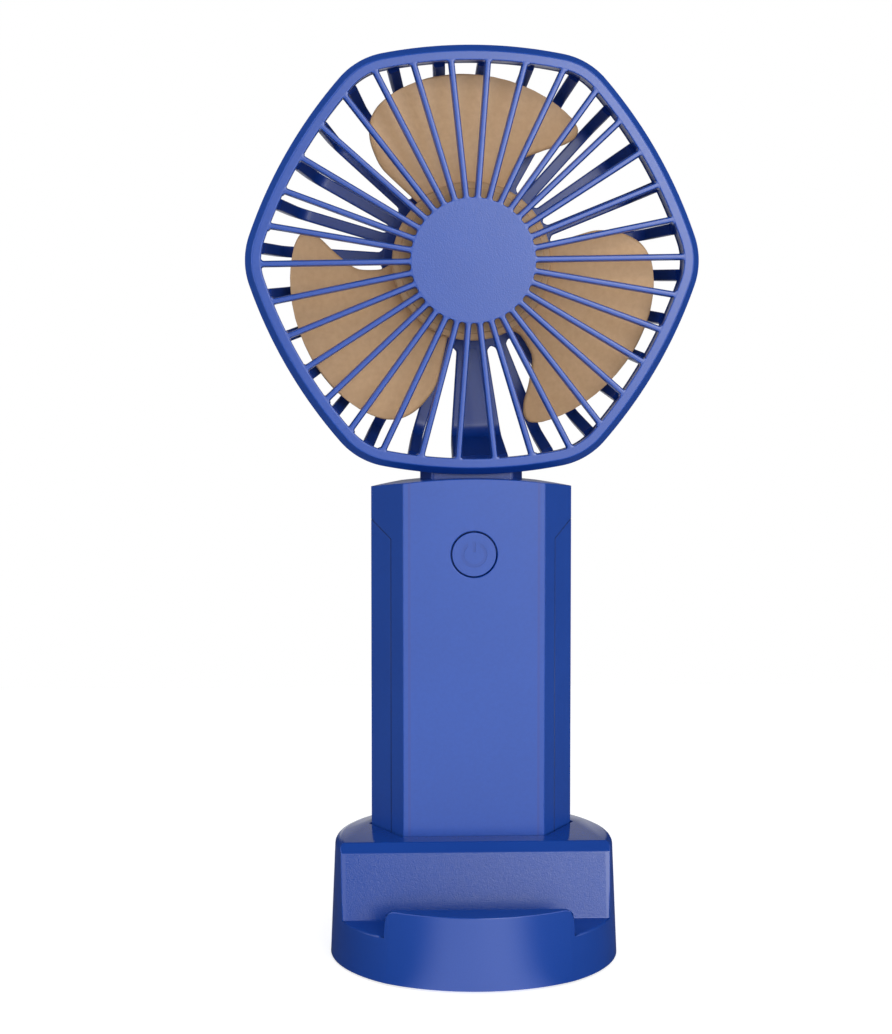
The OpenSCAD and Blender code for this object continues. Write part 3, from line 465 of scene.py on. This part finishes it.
def frontSpokePoints():
    # straight bars on rays, narrower and rounded in front, widening in fillets at the disc and the rim
    angle = (np.arange(spoke["count"]) + 0.5) * 360 / spoke["count"] - spoke["roll"]
    end = rayReach(angle, rim["opening"] - spoke["sink"])[:, None]
    wall = rayReach(angle, rim["opening"])[:, None]
    along = np.concatenate([np.linspace(0, 0.07, 9), np.linspace(0.1, 0.9, 7), np.linspace(0.93, 1, 9)])[None]
    radius = spoke["root"] + (end - spoke["root"]) * along
    extra = flare(radius - disc["radius"], spoke["fillet"]) + flare(wall - radius, spoke["fillet"])
    bend = np.radians(np.linspace(0, 90, 5))
    edge = spoke["edge"]
    useFront = np.concatenate([[0], np.ones(5), [0, 0]])
    useBack = np.concatenate([[0], np.zeros(5), [1, 1]])
    draw = np.concatenate([[0], -edge * (1 - np.sin(bend)), [0, -spoke["chamfer"]]])
    level = np.concatenate([[0], edge * (1 - np.cos(bend)), [spoke["deep"] - spoke["chamfer"], spoke["deep"]]])
    sign = np.concatenate([np.ones(8), -np.ones(7)])
    pick = np.concatenate([np.arange(8), np.arange(7, 0, -1)])
    half = useFront[pick] * (spoke["front"] + extra[..., None]) + useBack[pick] * (spoke["back"] + extra[..., None])
    across = sign * (half + draw[pick])
    turn = np.radians(angle)[:, None, None]
    x = radius[..., None] * np.sin(turn) + across * np.cos(turn)
    z = radius[..., None] * np.cos(turn) - across * np.sin(turn)
    y = np.broadcast_to(frontY + spoke["set"] + level[pick], x.shape)
    return np.stack([x, y, z + head["z"]], -1)


spokePoints = frontSpokePoints()
spokeCount, stations, around = spokePoints.shape[:3]
frontSpokes = addPiece("frontSpokes", spokePoints,
                       repeatFaces(tubeFaces(stations, around), stations * around, spokeCount), grilleBlue, "fan",
                       ["front_spokes"])

discProfile = openProfile([(0, frontY), (disc["radius"], frontY), (disc["radius"], frontY + disc["thick"]),
                           (0, frontY + disc["thick"])], disc["rounds"])
discPoints = lathePoints(discProfile)
frontDisc = addPiece("frontDisc", discPoints, gridFaces(*discPoints.shape[:2], False, True), discBlue, "fan",
                     ["front_spokes"])
print("front grille made:", spokeCount, "spokes")


# neck: a hexagonal stub in two halves

neck = {"wide": 20.8, "front": 16.2, "deep": 9.2, "low": 87.7, "flangeLow": 88.7, "flangeHigh": 90.2, "grow": 1.8,
        "frontTop": 95.5, "rearTop": 97.0, "gap": 0.04, "step": 0.01, "rounds": [0.15, 0.7, 0.7, 0.15]}


def neckPoints(corners, radii, top):
    # a rounded plan carried up in z, with a wider flange that stays inside the handle
    plan = roundProfile(corners, radii, 5, 0.1)
    wide = 1 + 2 * neck["grow"] / neck["wide"]
    middle = np.array([0, head["part"]])
    levels = [(neck["low"], 1), (neck["flangeLow"], 1), (neck["flangeLow"] + neck["step"], wide),
              (neck["flangeHigh"], wide), (neck["flangeHigh"] + neck["step"], 1), (top, 1)]
    return np.stack([np.column_stack([(plan - middle) * grow + middle, np.full(len(plan), z)]) for z, grow in levels])


def makeNeck(name, sign, top, stands, material):
    near = head["part"] + sign * neck["gap"]
    far = head["part"] + sign * neck["deep"] / 2
    points = neckPoints([(-neck["wide"] / 2, near), (-neck["front"] / 2, far), (neck["front"] / 2, far),
                         (neck["wide"] / 2, near)], neck["rounds"], top)
    return addPiece(name, points, tubeFaces(*points.shape[:2]), material, "fan", stands)


# both neck halves take the shaded rear blue: painted shade for the gap between head and handle
neckFront = makeNeck("neckFront", -1, neck["frontTop"], ["front_grille"], rearShadeBlue)
neckRear = makeNeck("neckRear", 1, neck["rearTop"], ["rear_grille"], rearShadeBlue)


# rear grille: rim band, bent spokes, wire stem and hub with the motor's cup

rear = {"draw": 5.2, "floorIn": 6.9, "thick": 1.8, "slotIn": 0.8, "slotY": 12.0, "tongue": 2.6, "count": 28,
        "roll": 2.8, "half": 1.15, "hub": 17.9, "bendIn": 3.0, "bendOut": 4.4, "stemBend": 0.8, "edge": 0.3,
        "taper": 0.2, "tongueDeep": 3, "clear": 0.1, "innerEnd": 0.5, "outerEnd": 0.4, "lap": 0.6, "set": 0.03,
        "fillet": 0.86, "stemWide": 1.02, "stemSet": 0.02, "rounds": [0.12, 0.05, 0.2, 0.15, 0.1, 0.06, 0.06, 0.1]}
backY = head["back"]
floorY = backY - rear["thick"]
slotOuterY = head["part"] + rear["slotIn"] / rear["draw"] * (backY - head["part"])
bandProfile = roundProfile(
    [(0, head["part"] + rim["gap"]), (rear["slotIn"], slotOuterY), (rear["slotIn"], rear["slotY"]),
     (rear["tongue"] + rear["taper"], rear["slotY"]), (rear["tongue"], head["part"]),
     (rear["tongue"], head["part"] - rear["tongueDeep"]),
     (rim["wall"] + rear["clear"], head["part"] - rear["tongueDeep"]),
     (rim["wall"] + rear["clear"], head["part"] + rim["gap"])], rear["rounds"], 5, 0.03)
bandPoints = ringPoints(bandProfile)
rearBand = addPiece("rearBand", bandPoints, gridFaces(*bandPoints.shape[:2], True, True), rearShadeBlue, "fan",
                    ["rear_grille"])


def bentPath(corner, floor, lean, bend, startR, end):
    # from the hub straight out on the back's flat, round a bend, then up the leaning wall to an end height
    turn = np.radians(90 - lean)
    cut = bend * np.tan(turn / 2)
    flat = startR + (corner - cut - startR) * np.linspace(0, 1, 26) ** 1.5
    around = turn * np.linspace(0, 1, 11)[1:-1]
    arcR = corner - cut + bend * np.sin(around)
    arcY = floor - bend * (1 - np.cos(around))
    wall0R = corner + cut * np.cos(turn)
    wall0Y = floor - cut * np.sin(turn)
    up = np.linspace(0, 1, 7)
    wallR = wall0R + (end[0] - wall0R) * up
    wallY = wall0Y + (end[1] - wall0Y) * up
    return np.concatenate([flat, arcR, wallR], -1), np.concatenate([0 * flat + floor, arcY + 0 * arcR, wallY], -1)


def rearBarPoints(angle, halfWidth, bendOut):
    # bars that follow the back's flat and wall; the section is a rounded box between the front and back paths
    leanIn = math.degrees(math.atan2(rear["floorIn"] - rim["opening"], floorY - head["part"]))
    leanOut = math.degrees(math.atan2(rear["draw"], backY - head["part"]))
    yIn = rear["slotY"] - rear["innerEnd"]
    yOut = rear["slotY"] + rear["outerEnd"]
    endIn = rim["opening"] + (yIn - head["part"]) / (floorY - head["part"]) * (rear["floorIn"] - rim["opening"])
    endOut = rear["clear"] + (yOut - head["part"]) / (backY - head["part"]) * rear["draw"]
    topIn = rayReach(angle, endIn)[:, None]
    topOut = rayReach(angle, endOut)[:, None]
    start = np.full((len(angle), 1), rear["hub"] - rear["lap"])
    innerR, innerY = bentPath(rayReach(angle, rear["floorIn"])[:, None], floorY + rear["set"], leanIn, rear["bendIn"],
                              start, (topIn, np.full_like(topIn, yIn)))
    outerR, outerY = bentPath(rayReach(angle, rear["draw"])[:, None], backY - rear["set"], leanOut, bendOut, start,
                              (topOut, np.full_like(topOut, yOut)))
    section = roundProfile([(-1, -1), (1, -1), (1, 1), (-1, 1)], [rear["edge"]] * 4, 5, 0.08)
    mix = (section[:, 1] + 1) / 2
    radius = innerR[..., None] * (1 - mix) + outerR[..., None] * mix
    y = innerY[..., None] * (1 - mix) + outerY[..., None] * mix
    across = halfWidth(radius) * section[:, 0]
    turn = np.radians(angle)[:, None, None]
    x = radius * np.sin(turn) + across * np.cos(turn)
    z = radius * np.cos(turn) - across * np.sin(turn)
    return np.stack([x, y, z + head["z"]], -1)


rearPitch = 360 / rear["count"]
rearAngle = (np.arange(rear["count"]) + 0.5) * rearPitch - rear["roll"]
barPoints = rearBarPoints(rearAngle, lambda radius: rear["half"] + flare(radius - rear["hub"], rear["fillet"]),
                          rear["bendOut"])
copies, stations, around = barPoints.shape[:3]
rearSpokes = addPiece("rearSpokes", barPoints, repeatFaces(tubeFaces(stations, around), stations * around, copies),
                      rearShadeBlue, "fan", ["rear_grille", "rear_back"])
stemAngle = np.array([rear["count"] / 2 * rearPitch - rear["roll"]])
stemShare = math.sin(math.radians(rearPitch / 2)) * rear["stemWide"]
stemPoints = rearBarPoints(stemAngle, lambda radius: radius * stemShare, rear["stemBend"])
rearStem = addPiece("rearStem", stemPoints[0] + [0, rear["stemSet"], 0], tubeFaces(*stemPoints.shape[1:3]), rearShadeBlue,
                    "fan", ["rear_grille", "rear_back"])

cup = {"outer": 13.8, "inner": 12.3, "front": 19.1, "step": 10.4, "seat": 23.7,
       "rounds": [0.1, 0.45, 0.35, 0.3, 0.2, 0.2, 0.1, 0.1, 0.1, 0.1]}
hubProfile = openProfile(
    [(0, backY), (rear["hub"], backY), (rear["hub"], floorY), (cup["outer"], floorY), (cup["outer"], cup["front"]),
     (cup["inner"], cup["front"]), (cup["inner"], cup["seat"]), (cup["step"], cup["seat"]), (cup["step"], floorY),
     (0, floorY)], cup["rounds"])
hubPoints = lathePoints(hubProfile)
rearHub = addPiece("rearHub", hubPoints, gridFaces(*hubPoints.shape[:2], False, True), rearShadeBlue, "fan",
                   ["rear_back", "motor_seat"])
print("rear grille made:", copies, "spokes")


# impeller: hub cup and three blades

impeller = {"hub": 15.9, "front": 8.0, "deep": 10.5, "wall": 1.8, "tip": 37.8, "blades": 3, "thick": 1.25,
            "edgeY": 10.2, "depth": 6.6, "bulge": 0.8, "step": 14.35, "stepOut": 0.25, "stepDeep": 0.35, "boss": 3,
            "bossDeep": 3.2, "root": 0.402, "fade": 1.6, "sharp": 60,
            "rounds": [0.1, 0.15, 0.1, 0.6, 0.3, 0.3, 0.3, 0.3, 0.1, 0.1]}
hubFront = impeller["front"]
cupProfile = openProfile(
    [(0, hubFront), (impeller["step"], hubFront),
     (impeller["step"] + impeller["stepOut"], hubFront + impeller["stepDeep"]),
     (impeller["hub"], hubFront + impeller["stepDeep"]), (impeller["hub"], hubFront + impeller["deep"]),
     (impeller["hub"] - impeller["wall"], hubFront + impeller["deep"]),
     (impeller["hub"] - impeller["wall"], hubFront + impeller["wall"]),
     (impeller["boss"], hubFront + impeller["wall"]), (impeller["boss"], hubFront + impeller["bossDeep"]),
     (0, hubFront + impeller["bossDeep"])], impeller["rounds"])
cupPoints = lathePoints(cupProfile)
impellerHub = addPiece("impellerHub", cupPoints, gridFaces(*cupPoints.shape[:2], False, True), bladeTan, "impeller",
                       ["impeller"])


def smoothCurve(at, knots):
    # a cubic through the knots whose slopes never overshoot them
    x, y = np.array(knots, float).T
    step = np.diff(x)
    rise = np.diff(y) / step
    inner = np.where(rise[1:] * rise[:-1] > 0, 2 * rise[1:] * rise[:-1] / (rise[1:] + rise[:-1] + 1e-12), 0)
    slope = np.concatenate([[rise[0]], inner, [rise[-1]]])
    k = np.clip(np.searchsorted(x, at) - 1, 0, len(step) - 1)
    t = (at - x[k]) / step[k]
    return (y[k] * (1 + 2 * t) * (1 - t) ** 2 + slope[k] * step[k] * t * (1 - t) ** 2
            + y[k + 1] * t ** 2 * (3 - 2 * t) + slope[k + 1] * step[k] * t ** 2 * (t - 1))


def bladePoints():
    # each row lies at a share of the tip radius, from trailing to leading edge and back; depth follows the angle, and
    # thickness fades at the edges
    trailing = [(0.39, 77.6), (0.56, 76.2), (0.66, 75.8), (0.79, 78.4), (0.9, 83), (0.957, 88.4), (0.985, 96),
                (1, 107)]
    leading = [(0.39, 152), (0.42, 149), (0.49, 145.3), (0.585, 146), (0.71, 153), (0.83, 159.5), (0.88, 160.4),
               (0.92, 159.6), (0.945, 156.5), (0.968, 147), (0.985, 134.5), (1, 116)]
    share = impeller["root"] + (1 - impeller["root"]) * np.sin(np.linspace(0, np.pi / 2, 44)) ** 0.9
    across = (1 - np.cos(np.linspace(0, np.pi, 31))) / 2
    first = smoothCurve(share, trailing)[:, None]
    last = smoothCurve(share, leading)[:, None]
    turn = first + (last - first) * across[None]
    radius = share[:, None] * impeller["tip"]
    arc = radius * np.radians(last - first)
    tipGap = (1 - share[:, None]) * impeller["tip"] * impeller["fade"]
    edgeGap = np.minimum(np.minimum(across, 1 - across)[None] * arc, tipGap)
    fullness = np.sqrt(np.clip(1 - (1 - np.clip(edgeGap / (impeller["thick"] / 2), 0, 1)) ** 2, 0, 1))
    pitch = (turn - first.min()) / (last.max() - first.min())
    middle = (impeller["edgeY"] + impeller["depth"] * pitch - impeller["bulge"] * np.sin(np.pi * pitch)
              + impeller["thick"] / 2)
    half = impeller["thick"] / 2 * fullness
    turns = np.concatenate([turn, turn[:, -2:0:-1]], 1)
    y = np.concatenate([middle - half, (middle + half)[:, -2:0:-1]], 1)
    spin = np.arange(impeller["blades"])[:, None, None] * 360 / impeller["blades"]
    angle = np.radians(turns[None] + spin)
    return np.stack([radius * np.sin(angle), np.broadcast_to(y, angle.shape), radius * np.cos(angle) + head["z"]], -1)


bladeGrid = bladePoints()
copies, stations, around = bladeGrid.shape[:3]
impellerBlades = addPiece("impellerBlades", bladeGrid,
                          repeatFaces(tubeFaces(stations, around), stations * around, copies), bladeTan, "impeller",
                          ["impeller"], impeller["sharp"])
print("impeller made:", copies, "blades")


# handle, dock and button: the CAD shapes with their outer edges rounded

crease = {"flat": 0.8, "sharp": 24}
skin = {"near": 0.05, "spare": 0.1}


def roundedCopy(name, node, material, body, width, segments, pick):
    # a merged copy of a node; outward edges that pick() accepts by their middles, in millimetres, get a bevel
    mesh = nodes[node].data.copy()
    mesh.name = name
    build = bmesh.new()
    build.from_mesh(mesh)
    bmesh.ops.remove_doubles(build, verts=build.verts, dist=weld["copy"])
    bmesh.ops.dissolve_limit(build, angle_limit=math.radians(crease["flat"]), verts=build.verts, edges=build.edges)
    weights = build.edges.layers.float.new("bevel_weight_edge")
    sharp = [e for e in build.edges if e.is_convex and e.calc_face_angle(0) > math.radians(crease["sharp"])]
    middles = np.array([(e.verts[0].co + e.verts[1].co) / 2 for e in sharp]) / mm
    for edge, chosen in zip(sharp, pick(middles)):
        edge[weights] = float(chosen)
    build.to_mesh(mesh)
    build.free()
    mesh.shade_smooth()
    mesh.set_sharp_from_angle(angle=math.radians(crease["sharp"]))
    piece = placePiece(name, mesh, material, body, [node])
    bevel = piece.modifiers.new("roundEdges", "BEVEL")
    bevel.limit_method = "WEIGHT"
    bevel.width = width * mm
    bevel.segments = segments
    bevel.use_clamp_overlap = False
    bevel.harden_normals = True
    return piece


handle = {"wide": 40.5, "front": 28.0, "deep": 22.0, "y": 10.0, "low": 8.1, "round": 0.22, "seam": 2.9, "tight": 0.2}


def onHandleSkin(p):
    # edges on the handle's outer faces: front, back, slanted sides, top and bottom
    x = np.abs(p[:, 0])
    y = np.abs(p[:, 1] - handle["y"])
    run = (handle["wide"] - handle["front"]) / 2
    rise = handle["deep"] / 2
    slant = (handle["wide"] / 2 - x - y * run / rise) * rise / math.hypot(run, rise)
    return (rise - y < skin["near"]) | (slant < skin["near"]) | (p[:, 2] < handle["low"] + skin["near"])


handleFrontShell = roundedCopy("handleFrontShell", "handle_front", handleBlue, "fan", handle["round"], 3,
                               lambda p: onHandleSkin(p) * np.where(p[:, 1] > handle["seam"], handle["tight"], 1))
handleRearShell = roundedCopy("handleRearShell", "handle_rear", handleBlue, "fan", handle["round"], 3,
                              lambda p: onHandleSkin(p) * np.where(p[:, 1] < handle["y"], handle["tight"], 1))
dock = {"top": 23.3, "ledge": 9.1, "lipBack": -21.3, "slopeFoot": -10.3, "slopeTop": -7.9, "brow": -5.9,
        "browLow": 21.7, "round": 0.44, "fine": 0.5, "ledgeFront": -12, "reach": 27.4}


def onDockSkin(p):
    # edges on the top, the brow, the slope, the ledge and the lip; the ledge's front edge is the roundest
    y = p[:, 1]
    z = p[:, 2]
    share = (z - dock["ledge"]) / (dock["browLow"] - dock["ledge"])
    slopeY = dock["slopeFoot"] + share * (dock["slopeTop"] - dock["slopeFoot"])
    browShare = (z - dock["browLow"]) / (dock["top"] - dock["browLow"])
    browY = dock["slopeTop"] + browShare * (dock["brow"] - dock["slopeTop"])
    near = skin["near"]
    spare = skin["spare"]
    onSlope = (np.abs(y - slopeY) < near) & (z > dock["ledge"] - spare) & (z < dock["browLow"] + spare)
    onLedge = (np.abs(z - dock["ledge"]) < near) & (y < dock["slopeFoot"] + spare)
    onLip = (z > dock["ledge"] + spare) & (y < dock["lipBack"] + near)
    onBrow = (np.abs(y - browY) < near) & (z > dock["browLow"] - spare)
    fine = onSlope | onLedge | onLip | onBrow | (np.abs(z - dock["top"]) < near)
    ledgeEdge = onLedge & (y < dock["ledgeFront"]) & (np.hypot(p[:, 0], y) > dock["reach"])
    return np.where(ledgeEdge, 1, dock["fine"] * fine)


dockBody = roundedCopy("dockBody", "dock_shell", dockBlue, "dock", dock["round"], 4, onDockSkin)
wall = {"low": 0.4, "fall": 0.9, "round": (0, 28.4, 21.9), "front": (3.5, 31.2, 23.3), "near": 0.05, "agree": 0.99}


def evenWall(piece):
    # the wall's facets take the normals of the two cones that they stand for, so that the gloss runs even on them
    bpy.context.view_layer.update()
    mesh = bpy.data.meshes.new_from_object(piece.evaluated_get(bpy.context.evaluated_depsgraph_get()))
    piece.modifiers.clear()
    piece.data = mesh
    place = np.array([mesh.vertices[loop.vertex_index].co for loop in mesh.loops]) / mm
    normals = np.array([corner.vector for corner in mesh.corner_normals])
    evened = 0
    for middle, radius, high in (wall["round"], wall["front"]):
        lean = wall["fall"] / (high - wall["low"])
        out = place[:, :2] - (0, middle)
        reach = np.hypot(out[:, 0], out[:, 1])
        near = np.abs(reach + lean * (place[:, 2] - wall["low"]) - radius) < wall["near"]
        cone = np.column_stack([out / reach[:, None], np.full(len(out), lean)]) / math.hypot(1, lean)
        for face in mesh.polygons:
            corners = slice(face.loop_start, face.loop_start + face.loop_total)
            if near[corners].all() and cone[corners].mean(0) @ np.array(face.normal) > wall["agree"]:
                normals[corners] = cone[corners]
                evened += 1
    mesh.normals_split_custom_set(normals.tolist())
    return evened


print("dock wall evened:", evenWall(dockBody), "faces")
button = {"z": 79.3, "edge": 4.2, "front": -1.15, "round": 0.12}
powerButton = roundedCopy("powerButton", "button_cap", buttonBlue, "button", button["round"], 2,
                          lambda p: (np.hypot(p[:, 0], p[:, 2] - button["z"]) > button["edge"])
                          & (p[:, 1] < button["front"] + skin["near"]))
print("handle, dock and button rounded")


# the CAD nodes that stay take their slot's finish

subparts = {entry["node"]: entry["material_slot"] for entry in frame["record"]["subparts"]}
for name, node in nodes.items():
    node.data.materials.clear()
    node.data.materials.append(slotFinish[subparts[name]])
print("finishes given to the nodes that stay")


# stage: floor, world and lamps

studio = {"ambient": 0.5, "sides": 0.03, "floor": 0.66, "glow": 0.70, "gleam": 2.95, "far": 0.55, "half": 0.3,
          "front": -0.9, "behind": 0.3, "flank": 2.6, "rough": 0.9, "near": 0.005, "sector": (0.28, 0.75),
          "fade": (0.15, 0.9), "dim": 0.2}


def makeStageFinish():
    # a pale floor: the lamps' light keeps the shadow, an added glow makes it white to the camera, and reflections
    # see it bright in a sector in front of the fan, fading with distance, and dim beside it
    material = bpy.data.materials.new("floorPale")
    material.use_nodes = True
    tree = material.node_tree
    shader = tree.nodes["Principled BSDF"]
    shader.inputs["Roughness"].default_value = studio["rough"]
    shader.inputs["Specular IOR Level"].default_value = 0.0
    shader.inputs["Emission Color"].default_value = (1, 1, 1, 1)
    seen = newNode(tree, "ShaderNodeLightPath")
    direct = newNode(tree, "ShaderNodeMath", operation="MAXIMUM")
    place = newNode(tree, "ShaderNodeTexCoord")
    parts = newNode(tree, "ShaderNodeSeparateXYZ")
    side = newNode(tree, "ShaderNodeMath", operation="ABSOLUTE")
    ahead = newNode(tree, "ShaderNodeMath", operation="MULTIPLY")
    ahead.inputs[1].default_value = -1
    front = newNode(tree, "ShaderNodeMath", operation="GREATER_THAN")
    front.inputs[1].default_value = studio["near"]
    spread = newNode(tree, "ShaderNodeMath", operation="DIVIDE")
    sector = newNode(tree, "ShaderNodeMapRange", interpolation_type="SMOOTHSTEP")
    sector.inputs["From Min"].default_value = studio["sector"][0]
    sector.inputs["From Max"].default_value = studio["sector"][1]
    sector.inputs["To Min"].default_value = studio["gleam"]
    sector.inputs["To Max"].default_value = 0
    lit = newNode(tree, "ShaderNodeMath", operation="MULTIPLY")
    reach = newNode(tree, "ShaderNodeVectorMath", operation="LENGTH")
    far = newNode(tree, "ShaderNodeMapRange")
    far.inputs["From Min"].default_value = studio["fade"][0]
    far.inputs["From Max"].default_value = studio["fade"][1]
    far.inputs["To Min"].default_value = 1
    far.inputs["To Max"].default_value = studio["far"]
    fading = newNode(tree, "ShaderNodeMath", operation="MULTIPLY")
    gleam = newNode(tree, "ShaderNodeMath", operation="MULTIPLY")
    tone = newNode(tree, "ShaderNodeMix", data_type="RGBA")
    tone.inputs[6].default_value = (*[studio["floor"]] * 3, 1)
    tone.inputs[7].default_value = (*[studio["floor"] * studio["dim"]] * 3, 1)
    glow = newNode(tree, "ShaderNodeMath", operation="MULTIPLY_ADD")
    glow.inputs[1].default_value = studio["glow"]
    link = tree.links.new
    link(seen.outputs["Is Camera Ray"], direct.inputs[0])
    link(seen.outputs["Is Transmission Ray"], direct.inputs[1])
    link(place.outputs["Object"], parts.inputs[0])
    link(parts.outputs["X"], side.inputs[0])
    link(parts.outputs["Y"], ahead.inputs[0])
    link(ahead.outputs[0], front.inputs[0])
    link(side.outputs[0], spread.inputs[0])
    link(ahead.outputs[0], spread.inputs[1])
    link(spread.outputs[0], sector.inputs["Value"])
    link(place.outputs["Object"], reach.inputs[0])
    link(reach.outputs["Value"], far.inputs["Value"])
    link(sector.outputs["Result"], fading.inputs[0])
    link(far.outputs["Result"], fading.inputs[1])
    link(fading.outputs[0], lit.inputs[0])
    link(front.outputs[0], lit.inputs[1])
    link(lit.outputs[0], gleam.inputs[1])
    link(seen.outputs["Is Glossy Ray"], gleam.inputs[0])
    link(seen.outputs["Is Glossy Ray"], tone.inputs[0])
    link(tone.outputs[2], shader.inputs["Base Color"])
    link(direct.outputs[0], glow.inputs[0])
    link(gleam.outputs[0], glow.inputs[2])
    link(glow.outputs[0], shader.inputs["Emission Strength"])
    material.cycles.emission_sampling = "NONE"
    return material


floorMesh = bpy.data.meshes.new("floor")
floorMesh.from_pydata([(-studio["half"], studio["front"], 0), (studio["half"], studio["front"], 0),
                       (studio["half"], studio["behind"], 0), (-studio["half"], studio["behind"], 0)], [],
                      [(0, 1, 2, 3)])
floorMesh.materials.append(makeStageFinish())
floor = bpy.data.objects.new("floor", floorMesh)
bpy.context.scene.collection.objects.link(floor)


panelEdges = {"behind": (0.1, 0.3), "above": (0.34, 0.10), "across": (0.26, 0.12), "ahead": (0.2, 0.0),
              "beside": (0.32, 0.44)}


def makeWorld():
    # soft even light; the camera sees white, reflections see white panels behind and at both flanks in front
    world = bpy.data.worlds.new("studio")
    bpy.context.scene.world = world
    world.use_nodes = True
    world.cycles.sampling_method = "NONE"
    tree = world.node_tree
    background = tree.nodes["Background"]
    seen = newNode(tree, "ShaderNodeLightPath")
    place = newNode(tree, "ShaderNodeTexCoord")
    parts = newNode(tree, "ShaderNodeSeparateXYZ")
    link = tree.links.new
    link(place.outputs["Generated"], parts.inputs[0])
    side = newNode(tree, "ShaderNodeMath", operation="ABSOLUTE")
    link(parts.outputs["X"], side.inputs[0])
    ranges = []
    for source, edge in ((parts.outputs["Y"], "behind"), (parts.outputs["Z"], "above"), (side.outputs[0], "across"),
                         (parts.outputs["Y"], "ahead"), (side.outputs[0], "beside")):
        low, high = panelEdges[edge]
        fade = newNode(tree, "ShaderNodeMapRange", interpolation_type="SMOOTHSTEP")
        fade.inputs["From Min"].default_value = min(low, high)
        fade.inputs["From Max"].default_value = max(low, high)
        fade.inputs["To Min"].default_value = float(low > high)
        fade.inputs["To Max"].default_value = float(low < high)
        link(source, fade.inputs["Value"])
        ranges.append(fade)
    behind = newNode(tree, "ShaderNodeMath", operation="MULTIPLY")
    narrow = newNode(tree, "ShaderNodeMath", operation="MULTIPLY")
    panel = newNode(tree, "ShaderNodeMath", operation="MULTIPLY_ADD")
    panel.inputs[1].default_value = 1 - studio["sides"]
    panel.inputs[2].default_value = studio["sides"]
    flank = newNode(tree, "ShaderNodeMath", operation="MULTIPLY")
    panels = newNode(tree, "ShaderNodeMath", operation="MULTIPLY_ADD")
    panels.inputs[1].default_value = studio["flank"]
    reflected = newNode(tree, "ShaderNodeMath", operation="MAXIMUM")
    soft = newNode(tree, "ShaderNodeMix", data_type="FLOAT")
    soft.inputs[2].default_value = studio["ambient"]
    plain = newNode(tree, "ShaderNodeMix", data_type="FLOAT")
    plain.inputs[3].default_value = 1.0
    link(ranges[0].outputs["Result"], behind.inputs[0])
    link(ranges[1].outputs["Result"], behind.inputs[1])
    link(behind.outputs[0], narrow.inputs[0])
    link(ranges[2].outputs["Result"], narrow.inputs[1])
    link(narrow.outputs[0], panel.inputs[0])
    link(seen.outputs["Is Glossy Ray"], reflected.inputs[0])
    link(seen.outputs["Is Transmission Ray"], reflected.inputs[1])
    link(reflected.outputs[0], soft.inputs[0])
    link(ranges[3].outputs["Result"], flank.inputs[0])
    link(ranges[4].outputs["Result"], flank.inputs[1])
    link(flank.outputs[0], panels.inputs[0])
    link(panel.outputs[0], panels.inputs[2])
    link(panels.outputs[0], soft.inputs[3])
    link(seen.outputs["Is Camera Ray"], plain.inputs[0])
    link(soft.outputs[0], plain.inputs[2])
    link(plain.outputs[0], background.inputs["Strength"])
    background.inputs["Color"].default_value = (1, 1, 1, 1)


makeWorld()


def addSoftbox(name, place, aim, wide, tall, power):
    lamp = bpy.data.lights.new(name, "AREA")
    lamp.shape = "RECTANGLE"
    lamp.size = wide
    lamp.size_y = tall
    lamp.energy = power
    holder = bpy.data.objects.new(name, lamp)
    holder.location = place
    direction = np.array(aim) - np.array(place)
    across = math.hypot(direction[0], direction[1])
    holder.rotation_euler = (math.atan2(across, -direction[2]), 0, math.atan2(-direction[0], direction[1]))
    bpy.context.scene.collection.objects.link(holder)
    return holder


# the large key lamp gives soft light without sharp shadows, and the small one near its middle gives the highlights
keyLight = {"place": (0.28, -1.13, 0.345), "aim": (0, 0, 0.09), "wide": 0.8, "tall": 0.75, "power": 9.4}
gleamLight = {"place": (0.31, -1.13, 0.32), "aim": (0, 0, 0.09), "wide": 0.38, "tall": 0.36, "power": 9.6}
fillLight = {"place": (-0.85, -0.7, 0.4), "aim": (0, 0, 0.11), "wide": 0.5, "tall": 0.5, "power": 1.1}
keyLamp = addSoftbox("keyLamp", **keyLight)
keyLamp.visible_glossy = False
gleamLamp = addSoftbox("gleamLamp", **gleamLight)
gleamLamp.visible_diffuse = False
fillLamp = addSoftbox("fillLamp", **fillLight)
fillLamp.visible_glossy = False
print("stage set")
